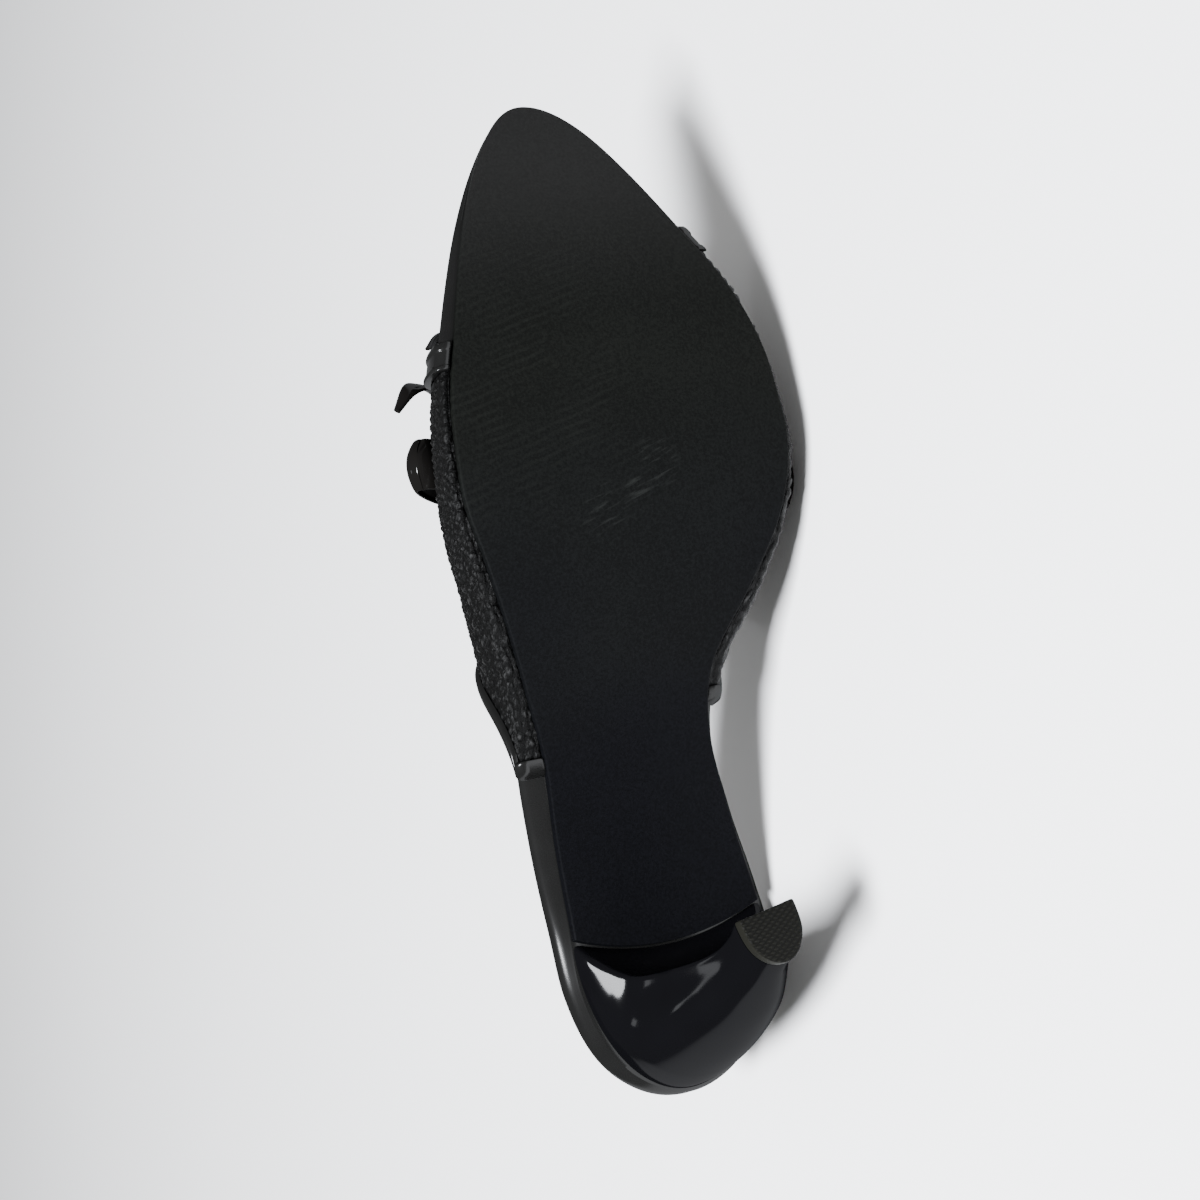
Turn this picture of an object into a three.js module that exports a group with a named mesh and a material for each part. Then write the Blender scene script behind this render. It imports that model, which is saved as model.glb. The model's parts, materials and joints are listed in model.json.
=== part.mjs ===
// A woman's heeled sandal for the right foot: a backless slide with a pointed open toe, a woven vamp
// with patent trim and a patent bow, a padded footbed and a covered, curved heel. It lies on its inner
// side, as it was put down. The shoe is shaped standing: x runs from the back of the heel to the toe,
// y to the inner side of the foot and z up from the ground. A last step lays it down.
import * as THREE from "three";
import { ConvexHull } from "three/addons/math/ConvexHull.js";

// Driving dimensions, in mm
const shoeLength = 236.8;
const ballWidth = 84;
const heelHeight = 62;
const seatSlope = 0.27;
const toeSpring = 6;
const breastPlace = 40.8;
const ballPlace = 149.8;
const toeBendPlace = 167.8;
const soleThickness = 2.5;
const soleBevel = 0.6;
const bedThicknessToe = 2.6;
const bedThicknessHeel = 7;
const rimOverhang = 3.2;
const wall = 2;
const clearance = 0.3;
const instepHeight = 54;
const crestShift = 3;
const weaveRelief = 0.5;
const weaveRows = 36;
const weaveStrands = 30;
const toeBandWidth = 6;
const toeBandThickness = 2;
const bindingWidth = 2.8;
const bindingThickness = 1.4;
const liftWidth = 15.6;
const liftFaceWidth = 14.2;
const liftThickness = 3.5;
const breastDent = 5.3;
const heelTwist = -0.15;
const heelLean = 2.4;
const ribbonWidth = 13;
const ribbonThickness = 1.5;
const bowReach = 49;
const outerLoopHeight = 9;
const innerLoopHeight = 4.6;
const knotWidth = 10;
const knotLength = 15;
const knotHeight = 8.5;
const tailLift = 5;

// Places of the vamp's two edges along the shoe: at the outer side, over the crest, at the inner side
const toeEdge = { outer: 175.2, crest: 188, inner: 198.3 };
const backEdge = { outer: 79.8, crest: 118, inner: 87.8, sweep: 0.6 };

// Sole outline, one row for each station. along: share of the sole's length from the back of the seat.
// outer, inner: edge of the sole on each side, shares of the ball width. outerRim, innerRim: how far
// footbed and vamp stand past that edge, shares of the rim overhang. crest: height of the vamp over
// the footbed's underside, share of the instep height.
const outline = [
  { along: 0, outer: 0, inner: 0, outerRim: 0.3, innerRim: 0.3, crest: 1 },
  { along: 0.02, outer: 0.155, inner: 0.155, outerRim: 0.5, innerRim: 0.5, crest: 1 },
  { along: 0.06, outer: 0.245, inner: 0.245, outerRim: 0.8, innerRim: 0.8, crest: 1 },
  { along: 0.12, outer: 0.297, inner: 0.297, outerRim: 0.95, innerRim: 0.95, crest: 1 },
  { along: 0.19, outer: 0.303, inner: 0.276, outerRim: 1.25, innerRim: 0.9, crest: 1 },
  { along: 0.27, outer: 0.321, inner: 0.219, outerRim: 1.5, innerRim: 0.75, crest: 1 },
  { along: 0.34, outer: 0.338, inner: 0.174, outerRim: 1.7, innerRim: 0.7, crest: 1 },
  { along: 0.4, outer: 0.378, inner: 0.192, outerRim: 1.05, innerRim: 1, crest: 1 },
  { along: 0.46, outer: 0.42, inner: 0.315, outerRim: 0.95, innerRim: 0.95, crest: 0.98 },
  { along: 0.52, outer: 0.464, inner: 0.427, outerRim: 0.8, innerRim: 0.55, crest: 0.93 },
  { along: 0.58, outer: 0.501, inner: 0.485, outerRim: 0.6, innerRim: 0.35, crest: 0.88 },
  { along: 0.64, outer: 0.49, inner: 0.498, outerRim: 0.55, innerRim: 0.25, crest: 0.84 },
  { along: 0.7, outer: 0.459, inner: 0.494, outerRim: 0.55, innerRim: 0.2, crest: 0.8 },
  { along: 0.77, outer: 0.398, inner: 0.443, outerRim: 0.35, innerRim: 0.3, crest: 0.72 },
  { along: 0.84, outer: 0.329, inner: 0.346, outerRim: 0.1, innerRim: 0.35, crest: 0.6 },
  { along: 0.91, outer: 0.241, inner: 0.247, outerRim: 0, innerRim: 0, crest: 0.5 },
  { along: 0.965, outer: 0.145, inner: 0.15, outerRim: 0, innerRim: 0, crest: 0.43 },
  { along: 1, outer: 0.008, inner: -0.008, outerRim: 0, innerRim: 0, crest: 0.4 },
];

// Heel, one row for each level. up: share of the height from the lift to the seat. back, breast: its
// two ends, shares of the seat's depth. width, face: its width and its breast's, from 0, the lift's,
// to 1, the seat's. dent: hollow of the breast, share of the breast dent.
const heelLevels = [
  { up: 0, back: 0.522, breast: 0.835, width: 0, face: 0, dent: 0.02 },
  { up: 0.1, back: 0.456, breast: 0.768, width: 0.03, face: -0.02, dent: 0.12 },
  { up: 0.2, back: 0.38, breast: 0.722, width: 0.16, face: 0.03, dent: 0.25 },
  { up: 0.35, back: 0.267, breast: 0.702, width: 0.38, face: 0.14, dent: 0.45 },
  { up: 0.5, back: 0.18, breast: 0.702, width: 0.606, face: 0.24, dent: 0.6 },
  { up: 0.65, back: 0.107, breast: 0.707, width: 0.765, face: 0.32, dent: 0.7 },
  { up: 0.8, back: 0.05, breast: 0.735, width: 0.895, face: 0.49, dent: 0.8 },
  { up: 0.87, back: 0.028, breast: 0.81, width: 0.94, face: 0.69, dent: 0.9 },
  { up: 0.94, back: 0.01, breast: 0.915, width: 0.975, face: 0.907, dent: 1 },
  { up: 1, back: 0, breast: 1, width: 1, face: 1, dent: 1 },
];

const soleStart = rimOverhang * outline[0].outerRim;
const soleLength = shoeLength - soleStart;
const seatDepth = breastPlace - soleStart - clearance;
const { clamp, lerp, smoothstep, degToRad } = THREE.MathUtils;

// Stations are spread by the angle of a half turn, so that both round ends of the outline stay round.
const angleOf = (share) => Math.acos(1 - 2 * clamp(share, 0, 1));
const shareOf = (angle) => (1 - Math.cos(angle)) / 2;

// A smooth curve through one column of a table, over the key column put through spread.
function readColumn(table, key, column, value, spread) {
  const places = table.map((row) => spread(row[key]));
  const at = clamp(spread(value), places[0], places.at(-1));
  const next = Math.max(1, places.findIndex((place) => place >= at));
  const slope = (i) => {
    const before = Math.max(i - 1, 0);
    const after = Math.min(i + 1, table.length - 1);
    return (table[after][column] - table[before][column]) / (places[after] - places[before]);
  };
  const span = places[next] - places[next - 1];
  const t = (at - places[next - 1]) / span;
  const ease = t * t * (3 - 2 * t);
  const bend = slope(next - 1) * t * (1 - t) ** 2 - slope(next) * t * t * (1 - t);
  return lerp(table[next - 1][column], table[next][column], ease) + span * bend;
}

const outlineAt = (x, column) =>
  readColumn(outline, "along", column, (x - soleStart) / soleLength, angleOf);

const heelAt = (up, column) => readColumn(heelLevels, "up", column, up, (share) => share);

// Underside of the sole along the shoe: sloping seat, arch, flat ball and rising toe.
function soleUnder(x) {
  if (x < breastPlace) return heelHeight - seatSlope * x;
  if (x < ballPlace) {
    const rise = heelHeight - seatSlope * breastPlace;
    const span = ballPlace - breastPlace;
    const t = (ballPlace - x) / span;
    return rise * t * t * (3 - 2 * t) - seatSlope * span * t * t * (1 - t);
  }
  const toe = Math.max(0, (x - toeBendPlace) / (shoeLength - toeBendPlace));
  return toeSpring * toe * toe;
}

const bedUnder = (x) => soleUnder(x) + soleThickness + clearance;

// Half widths of the sole and of the footbed's rim, on the outer side (-1) or the inner side (+1).
const soleHalf = (x, side) => ballWidth * outlineAt(x, side < 0 ? "outer" : "inner");
const rimPast = (x, side) => rimOverhang * outlineAt(x, side < 0 ? "outerRim" : "innerRim");

// A closed body from its corners and triangles, turned to face outwards.
function solid(corners, triangles) {
  const volume = triangles.reduce((sum, [a, b, c]) => {
    const cross = new THREE.Vector3().crossVectors(corners[b], corners[c]);
    return sum + corners[a].dot(cross);
  }, 0);
  const index = triangles.flatMap(([a, b, c]) => (volume > 0 ? [a, b, c] : [a, c, b]));
  const geometry = new THREE.BufferGeometry().setFromPoints(corners);
  geometry.setIndex(index);
  geometry.computeVertexNormals();
  return geometry;
}

// Skin over a row of rings with as many points each, closed at both ends by the faces of cap. In a
// crossed skin the diagonals change side from face to face, so raised corners join into strips.
function skin(rings, cap, crossed = false) {
  const size = rings[0].length;
  const triangles = [];
  for (let ring = 0; ring + 1 < rings.length; ring += 1) {
    for (let point = 0; point < size; point += 1) {
      const a = ring * size + point;
      const b = ring * size + ((point + 1) % size);
      if (crossed && (ring + point) % 2 === 1) {
        triangles.push([a, b, a + size], [b, b + size, a + size]);
      } else {
        triangles.push([a, b, b + size], [a, b + size, a + size]);
      }
    }
  }
  const last = (rings.length - 1) * size;
  for (const [a, b, c] of cap) {
    triangles.push([c, b, a], [last + a, last + b, last + c]);
  }
  return solid(rings.flat(), triangles);
}

// Faces of a ring whose two halves face each other. With tips, its first and middle points are
// single points on the fold; without, it starts beside its last point.
function foldedCap(size, tips) {
  const faces = [];
  const partner = (i) => (tips ? (size - i) % size : size - 1 - i);
  for (let i = 0; i < size / 2 - (tips ? 0 : 1); i += 1) {
    const corners = [i, i + 1, partner(i + 1), partner(i)];
    if (corners[1] !== corners[2]) faces.push([corners[0], corners[1], corners[2]]);
    if (corners[0] !== corners[3]) faces.push([corners[0], corners[2], corners[3]]);
  }
  return faces;
}

// Faces of a ring from its flat contour, wound the way the contour runs.
function flatCap(contour) {
  const faces = THREE.ShapeUtils.triangulateShape(contour, []);
  return THREE.ShapeUtils.isClockWise(contour) ? faces.map(([a, b, c]) => [a, c, b]) : faces;
}

const vector = (x, y, z) => new THREE.Vector3(x, y, z);

// Ring from two sides given from the back to the toe, each with the tips at both ends.
const joinSides = (outer, inner) => [...outer, ...inner.slice(1, -1).reverse()];

// One side of a sole level from x = start to the toe, moved outwards by past(x, side) and sideways at
// the height of level(x). The back end is round.
function sideLine(side, start, steps, past, level) {
  const from = angleOf((start - soleStart) / soleLength);
  return Array.from({ length: steps + 1 }, (_, i) => {
    const x = soleStart + soleLength * shareOf(lerp(from, Math.PI, i / steps));
    const step = 0.2;
    const before = Math.max(x - step, soleStart);
    const after = Math.min(x + step, shoeLength);
    const slope = (soleHalf(after, side) - soleHalf(before, side)) / (after - before);
    const way = new THREE.Vector2(-slope, 1).normalize();
    if (i === 0 && start === soleStart) way.set(-1, 0);
    if (i === steps) way.set(1, 0);
    const out = past(x, side);
    const y = side * Math.max(soleHalf(x, side) + way.y * out, i === steps ? -1 : 0);
    const reach = x + way.x * out;
    return vector(reach, y, level(reach));
  });
}

// The sole's tail, which fits the hollow of the heel's breast.
const breastLine = (y, half) => breastPlace - breastDent * (1 - (y / half) ** 2);

function outsole() {
  const tailSteps = 6;
  const sideSteps = 44;
  const levels = [
    { inset: soleBevel, up: 0 },
    { inset: 0, up: soleBevel },
    { inset: 0, up: soleThickness },
  ];
  const start = breastPlace + soleBevel;
  const rings = levels.map(({ inset, up }) => {
    const sides = [-1, 1].map((side) => {
      const half = soleHalf(start, side) - inset;
      const tail = Array.from({ length: tailSteps }, (_, i) => {
        const y = (half * i) / tailSteps;
        const x = breastLine(y, half) + inset + clearance;
        return vector(x, side * y, soleUnder(x) + up);
      });
      const line = sideLine(side, start, sideSteps, () => -inset, (x) => soleUnder(x) + up);
      line.at(-1).y = -soleHalf(shoeLength, -1);
      return [...tail, ...line];
    });
    return joinSides(sides[0], sides[1]);
  });
  return skin(rings, foldedCap(rings[0].length, true));
}

// How much of the footbed's side is taken up by the vamp wall, from 0 to 1.
function underVamp(x, side) {
  const back = side < 0 ? backEdge.outer : backEdge.inner;
  const front = side < 0 ? toeEdge.outer : toeEdge.inner;
  const run = 2 * wall;
  return smoothstep(x, back - wall - run, back - wall) * (1 - smoothstep(x, front + wall, front + wall + run));
}

// Thickness of the footbed: thin under the ball, padded from the arch back.
const bedThickness = (x) =>
  lerp(bedThicknessHeel, bedThicknessToe, smoothstep(x, breastPlace * 1.6, ballPlace * 0.85));

function footbed() {
  const steps = 52;
  const tuck = wall + clearance + bindingThickness;
  const levels = [
    { up: 0, past: 0 },
    { up: 0.25, past: 0.8 },
    { up: 0.55, past: 1 },
    { up: 0.85, past: 0.7 },
    { up: 1, past: -0.1 },
  ];
  const rings = levels.map(({ up, past }) => {
    const edge = (x, side) => {
      const rim = rimPast(x, side);
      return lerp(rim * past, rim - tuck, underVamp(x, side));
    };
    const level = (x) => bedUnder(x) + up * bedThickness(x);
    const sides = [-1, 1].map((side) => sideLine(side, soleStart, steps, edge, level));
    for (const line of sides) {
      line[0].y = 0;
      line.at(-1).y = -soleHalf(shoeLength, -1);
    }
    return joinSides(sides[0], sides[1]);
  });
  return skin(rings, foldedCap(rings[0].length, true));
}

// One level of the heel: a D with its straight side at the breast, fuller behind it. height(x) is
// its z.
function heelRing(up, height) {
  const backSteps = 22;
  const breastSteps = 8;
  const cornerTurn = 0.8;
  const back = soleStart + seatDepth * heelAt(up, "back");
  const breast = soleStart + seatDepth * heelAt(up, "breast");
  const seatHalf = soleHalf(breastPlace, -1);
  const half = lerp(liftWidth / 2, seatHalf, heelAt(up, "width"));
  const face = lerp(liftFaceWidth / 2, seatHalf, heelAt(up, "face"));
  const dent = breastDent * heelAt(up, "dent");
  const plan = [];
  for (let i = 0; i <= backSteps; i += 1) {
    const angle = (Math.PI * i) / backSteps;
    const fromFace = Math.min(angle, Math.PI - angle);
    const width = lerp(face, half, smoothstep(fromFace, 0, cornerTurn));
    plan.push([breast - (breast - back) * Math.sin(angle), -width * Math.cos(angle)]);
  }
  for (let i = 1; i < breastSteps; i += 1) {
    const across = 1 - (2 * i) / breastSteps;
    plan.push([breast - dent * (1 - across * across), face * across]);
  }
  const centre = new THREE.Vector2((back + breast) / 2, 0);
  const low = (1 - up) ** 2;
  return plan.map(([x, y]) => {
    const turned = new THREE.Vector2(x, y).rotateAround(centre, heelTwist * low);
    return vector(turned.x, turned.y + heelLean * low, height(turned.x));
  });
}

const flatOf = (ring) => ring.map(({ x, y }) => new THREE.Vector2(x, y));

function heel() {
  const levels = 16;
  const foot = liftThickness + clearance;
  const rings = Array.from({ length: levels + 1 }, (_, i) => {
    const up = i / levels;
    return heelRing(up, (x) => lerp(foot, bedUnder(x) - clearance, up));
  });
  return skin(rings, flatCap(flatOf(rings[0])));
}

function heelLift() {
  const rings = [0, liftThickness].map((z) => heelRing(0, () => z));
  return skin(rings, flatCap(flatOf(rings[0])));
}

// The vamp's outer face: angle 0 is the outer base, half a turn the inner base. Its sections are
// half superellipses. lift is the distance from the face along its normal.
function vampPoint(x, angle, lift = 0) {
  const step = 0.01;
  const low = Math.max(angle - step, 0);
  const high = Math.min(angle + step, Math.PI);
  const around = vampFace(x, high).sub(vampFace(x, low));
  const forward = vampFace(x + step, angle).sub(vampFace(x - step, angle));
  const normal = forward.cross(around).normalize();
  return { point: vampFace(x, angle).addScaledVector(normal, lift), normal };
}

function vampFace(x, angle) {
  const fullness = 2 / 2.3;
  const side = angle < Math.PI / 2 ? -1 : 1;
  const half = soleHalf(x, side) + rimPast(x, side) - side * crestShift;
  const across = Math.abs(Math.cos(angle)) ** fullness;
  const height = instepHeight * outlineAt(x, "crest");
  const up = Math.max(Math.sin(angle), 0) ** fullness;
  return vector(x, crestShift + side * half * across, bedUnder(x) + height * up);
}

// Where the vamp's front and back edges run.
function frontOf(angle) {
  const t = angle / Math.PI;
  const lead = 2 * toeEdge.crest - (toeEdge.outer + toeEdge.inner) / 2;
  return toeEdge.outer * (1 - t) ** 2 + 2 * t * (1 - t) * lead + toeEdge.inner * t * t;
}

function backOf(angle) {
  const base = lerp(backEdge.outer, backEdge.inner, angle / Math.PI);
  return lerp(base, backEdge.crest, Math.max(Math.sin(angle), 0) ** backEdge.sweep);
}

// Angle of a strand. Strands lie closer near the base, where the edges sweep along the shoe.
function strandAngle(strand) {
  const even = strand / weaveStrands;
  return Math.PI * lerp(even, shareOf(Math.PI * even), 0.6);
}

// The woven vamp: one wall, its crossing strips raised where no trim covers it.
function vamp() {
  const rings = Array.from({ length: weaveRows + 1 }, (_, row) => {
    const outer = [];
    const inner = [];
    for (let strand = 0; strand <= weaveStrands; strand += 1) {
      const angle = strandAngle(strand);
      const front = frontOf(angle);
      const back = backOf(angle);
      const x = lerp(front, back, row / weaveRows);
      const margin = (1.5 * (front - back)) / weaveRows;
      const covered = front - x < toeBandWidth + margin || x - back < bindingWidth + margin;
      const raised = !covered && (row + strand) % 2 === 0;
      outer.push(vampPoint(x, angle, raised ? weaveRelief : 0).point);
      inner.unshift(vampPoint(x, angle, -wall).point);
    }
    return [...outer, ...inner];
  });
  return skin(rings, foldedCap(rings[0].length, false), true);
}

// A trim folded over an edge of the vamp. profile holds its corners as [in, up]: in mm from the edge
// into the vamp, and up from the vamp's outer face. sense is -1 at the front edge, 1 at the back one.
function foldedTrim(edgeOf, sense, profile) {
  const rings = Array.from({ length: weaveStrands + 1 }, (_, i) => {
    const angle = strandAngle(i);
    return profile.map(([inward, up]) => vampPoint(edgeOf(angle) + sense * inward, angle, up).point);
  });
  return skin(rings, flatCap(profile.map(([inward, up]) => new THREE.Vector2(inward, up))));
}

// Patent band round the open toe, with two piped ridges on its outer leg.
function toeBand() {
  const foot = clearance;
  const crown = clearance + toeBandThickness;
  const groove = clearance + toeBandThickness * 0.45;
  const under = -wall - clearance;
  const leg = under - bindingThickness / 2;
  const nose = clearance + bindingThickness / 2;
  const profile = [
    [clearance * -1, foot],
    [toeBandWidth, foot],
    [toeBandWidth, groove],
    [toeBandWidth * 0.86, crown],
    [toeBandWidth * 0.62, crown],
    [toeBandWidth * 0.46, groove],
    [toeBandWidth * 0.3, crown],
    [toeBandWidth * 0.04, crown],
    [-nose, groove],
    [-nose, leg * 0.7],
    [-clearance, leg],
    [toeBandWidth * 0.7, leg],
    [toeBandWidth * 0.7, under],
    [-clearance, under],
  ];
  return foldedTrim(frontOf, -1, profile);
}

// Patent binding along the vamp's back edge.
function backBinding() {
  const crown = clearance + bindingThickness;
  const under = -wall - clearance;
  const profile = [
    [-clearance, clearance],
    [bindingWidth, clearance],
    [bindingWidth * 0.8, crown],
    [-clearance, crown],
    [-clearance - bindingThickness, clearance - wall / 2],
    [-clearance, under - bindingThickness / 2],
    [bindingWidth * 0.8, under - bindingThickness / 2],
    [bindingWidth, under],
    [-clearance, under],
  ];
  return foldedTrim(backOf, 1, profile);
}

// The bow's middle on the vamp, and the places of its two ends and of its tails' tips. turn is the
// angle round the section in degrees.
const bowMiddle = { x: 153.8, turn: 101 };
const bowEnds = {
  outer: { x: 158.7, turn: 35, height: outerLoopHeight, crown: 0.4 * outerLoopHeight },
  inner: { x: 134.5, turn: 173, height: innerLoopHeight, crown: 0.4 * innerLoopHeight },
};

// A ribbon on the vamp. path lists x, turn in degrees and lift of its middle line; widths lists its
// width at even steps of the way. At half way its edges stand back from its middle by crown.
function ribbon(path, widths, steps, crown) {
  const line = new THREE.CatmullRomCurve3(
    path.map(({ x, turn, lift }) => {
      return vampPoint(x, degToRad(turn), lift).point;
    }),
    false,
    "centripetal",
  );
  const turns = new THREE.CatmullRomCurve3(
    path.map(({ x, turn, lift }) => vector(x, turn, lift)),
    false,
    "centripetal",
  );
  const crownRun = 0.2;
  const before = vector(0, 0, 0);
  const rings = Array.from({ length: steps + 1 }, (_, i) => {
    const t = i / steps;
    const { x, y: turn } = turns.getPoint(t);
    const { normal } = vampPoint(x, degToRad(turn));
    const middle = line.getPoint(t);
    const way = line.getTangent(t);
    const across = normal.clone().cross(way).normalize();
    if (across.dot(before) < 0) across.negate();
    before.copy(across);
    const back = crown * Math.exp(-(((t - 0.5) / crownRun) ** 2));
    return ribbonRing(middle, across, way.clone().cross(across).normalize(), widths, t, back);
  });
  return skin(rings, foldedCap(rings[0].length, false));
}

// Six-sided section of a ribbon, thinner at its edges, which stand back by back along face. It starts
// beside its last point.
function ribbonRing(middle, across, face, widths, t, back) {
  const at = t * (widths.length - 1);
  const first = Math.min(Math.floor(at), widths.length - 2);
  const half = lerp(widths[first], widths[first + 1], at - first) / 2;
  const thick = ribbonThickness / 2;
  const corners = [
    [-half, back + thick * 0.5],
    [0, thick],
    [half, back + thick * 0.5],
    [half, back - thick * 0.5],
    [0, -thick],
    [-half, back - thick * 0.5],
  ];
  return corners.map(([a, b]) => middle.clone().addScaledVector(across, a).addScaledVector(face, b));
}

// A loop of the bow: out along the vamp, round, and back over itself. It starts and ends at the knot.
function bowLoop(end) {
  const low = weaveRelief + 3 * clearance + ribbonThickness / 2;
  const high = low + end.height - ribbonThickness;
  const root = (knotWidth / 2 + ribbonThickness) / bowReach;
  const turnRadius = (high - low) / 2 / bowReach;
  const course = [
    { out: root, lift: low + ribbonThickness },
    { out: 0.3, lift: low },
    { out: 0.6, lift: low },
    { out: 1 - turnRadius, lift: low },
    { out: 1 - turnRadius * 0.25, lift: lerp(low, high, 0.2) },
    { out: 1, lift: lerp(low, high, 0.5) },
    { out: 1 - turnRadius * 0.25, lift: lerp(low, high, 0.8) },
    { out: 1 - turnRadius, lift: high },
    { out: 0.6, lift: high + ribbonThickness },
    { out: 0.3, lift: high },
    { out: root, lift: low + knotHeight * 0.5 },
  ];
  const path = course.map(({ out, lift }) => ({
    x: lerp(bowMiddle.x, end.x, out),
    turn: lerp(bowMiddle.turn, end.turn, out),
    lift,
  }));
  const slim = ribbonWidth * 0.62;
  const widths = [slim, ribbonWidth * 0.9, ribbonWidth, ribbonWidth, ribbonWidth, ribbonWidth * 0.9, slim];
  return ribbon(path, widths, 34, end.crown);
}

// The knot, a rounded block across the bow's middle.
function bowKnot() {
  const { point, normal } = vampPoint(bowMiddle.x, degToRad(bowMiddle.turn));
  const ahead = vampPoint(bowEnds.inner.x, degToRad(bowEnds.inner.turn)).point.sub(point);
  const along = ahead.addScaledVector(normal, -ahead.dot(normal)).normalize();
  const across = normal.clone().cross(along);
  const rise = weaveRelief + 3 * clearance + ribbonThickness;
  const sides = 12;
  const rings = [-1, -0.92, -0.6, 0, 0.6, 0.92, 1].map((share) => {
    const swell = Math.sqrt(1 - 0.75 * share * share);
    return Array.from({ length: sides }, (_, i) => {
      const angle = (2 * Math.PI * i) / sides;
      const out = (knotWidth / 2) * swell * Math.cos(angle);
      const up = rise + (knotHeight / 2) * swell * (1 + Math.sin(angle));
      return point
        .clone()
        .addScaledVector(across, (share * knotLength) / 2)
        .addScaledVector(along, out)
        .addScaledVector(normal, up);
    });
  });
  return skin(rings, foldedCap(sides, true));
}

// The bow's tails run forward over the toe band; the back one curls up at its cut tip. ahead: how far
// in front of the bow's middle, share of the bow's reach. turn: in degrees. lift: share of tailLift.
function bowTail(rows) {
  const widths = [0.35, 0.6, 0.85, 0.85, 0.6, 0.35, 0.16, 0.06].map((share) => share * ribbonWidth);
  const path = rows.map(({ ahead, turn, lift }) => {
    return { x: bowMiddle.x + ahead * bowReach, turn, lift: lift * tailLift };
  });
  return ribbon(path, widths, 20, 0);
}

const curledTail = [
  { ahead: 0.096, turn: 98, lift: 0.38 },
  { ahead: 0.208, turn: 91, lift: 0.56 },
  { ahead: 0.3, turn: 80, lift: 0.76 },
  { ahead: 0.382, turn: 64, lift: 0.88 },
  { ahead: 0.433, turn: 50, lift: 1 },
  { ahead: 0.453, turn: 38, lift: 1.12 },
  { ahead: 0.412, turn: 31, lift: 1.4 },
  { ahead: 0.3, turn: 28, lift: 1.84 },
];
const frontTail = [
  { ahead: 0.096, turn: 106, lift: 0.38 },
  { ahead: 0.229, turn: 109, lift: 0.56 },
  { ahead: 0.392, turn: 103, lift: 0.76 },
  { ahead: 0.586, turn: 82, lift: 0.92 },
  { ahead: 0.698, turn: 62, lift: 1 },
  { ahead: 0.708, turn: 46, lift: 1 },
  { ahead: 0.627, turn: 35, lift: 0.9 },
];

const finishes = {
  soleRubber: new THREE.MeshStandardMaterial({ color: 0x1c1d1c, roughness: 0.75, metalness: 0 }),
  patent: new THREE.MeshStandardMaterial({ color: 0x0b0b0c, roughness: 0.12, metalness: 0 }),
  woven: new THREE.MeshStandardMaterial({ color: 0x131313, roughness: 0.5, metalness: 0 }),
  liftRubber: new THREE.MeshStandardMaterial({ color: 0x2b2c28, roughness: 0.65, metalness: 0 }),
};

const pieces = [
  ["outsole", outsole(), finishes.soleRubber],
  ["footbed", footbed(), finishes.patent],
  ["heel", heel(), finishes.patent],
  ["heel_lift", heelLift(), finishes.liftRubber],
  ["vamp", vamp(), finishes.woven],
  ["toe_band", toeBand(), finishes.patent],
  ["back_binding", backBinding(), finishes.patent],
  ["bow_loop_outer", bowLoop(bowEnds.outer), finishes.patent],
  ["bow_loop_inner", bowLoop(bowEnds.inner), finishes.patent],
  ["bow_knot", bowKnot(), finishes.patent],
  ["bow_tail_back", bowTail(curledTail), finishes.patent],
  ["bow_tail_front", bowTail(frontTail), finishes.patent],
];

// Centre of mass of the pieces, taken as solids of one density.
function massCentre(geometries) {
  const sum = vector(0, 0, 0);
  let total = 0;
  for (const geometry of geometries) {
    const place = geometry.getAttribute("position");
    const index = geometry.index.array;
    for (let i = 0; i < index.length; i += 3) {
      const [a, b, c] = [0, 1, 2].map((k) => vector(0, 0, 0).fromBufferAttribute(place, index[i + k]));
      const volume = a.dot(new THREE.Vector3().crossVectors(b, c)) / 6;
      sum.addScaledVector(a.add(b).add(c), volume / 4);
      total += volume;
    }
  }
  return sum.divideScalar(total);
}

// The face of the pieces' hull that the shoe can lie on, on its inner side: the one that holds the
// centre of mass, seen along its normal.
function restingNormal(geometries) {
  const corners = geometries.flatMap((geometry) => {
    const place = geometry.getAttribute("position");
    return Array.from({ length: place.count }, (_, i) => vector(0, 0, 0).fromBufferAttribute(place, i));
  });
  const centre = massCentre(geometries);
  const hull = new ConvexHull().setFromPoints(corners);
  const inward = new THREE.Vector3();
  const holds = hull.faces.filter(({ normal, edge }) => {
    let inside = normal.y > 0.5;
    let walk = edge;
    do {
      const tail = walk.tail().point;
      const side = walk.head().point.clone().sub(tail);
      inward.crossVectors(normal, side);
      inside &&= inward.dot(centre.clone().sub(tail)) >= 0;
      walk = walk.next;
    } while (walk !== edge);
    return inside;
  });
  holds.sort((a, b) => b.normal.y - a.normal.y);
  return holds[0].normal.clone();
}

// Lays the shoe down with its length along x, its box's bottom centre at the origin.
function layDown(group, geometries) {
  const down = restingNormal(geometries);
  const toe = vector(1, 0, 0).addScaledVector(down, -down.x).normalize();
  const upright = new THREE.Matrix4().makeBasis(toe, toe.clone().cross(down), down.clone().negate());
  group.quaternion.setFromRotationMatrix(upright.transpose());
  group.updateMatrixWorld(true);
  const box = new THREE.Box3().setFromObject(group, true);
  const middle = box.getCenter(new THREE.Vector3());
  group.position.set(-middle.x, -middle.y, -box.min.z);
}

const sandal = new THREE.Group();
for (const [name, geometry, material] of pieces) {
  const mesh = new THREE.Mesh(geometry, material);
  mesh.name = name;
  sandal.add(mesh);
}
layDown(sandal, pieces.map(([, geometry]) => geometry));

export default sandal;
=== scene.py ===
"""A woman's heeled slide sandal for the right foot, lying on its inner side on a pale floor.

The shoe is shaped standing, in millimetres: x runs from the back of the heel to the toe, y to the
inner side of the foot and z up from the ground. Each finished piece is then laid down into the
row frame, in metres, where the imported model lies.
"""

import json
import logging
from dataclasses import dataclass, field
from enum import Enum
from typing import Callable, Optional

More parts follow.
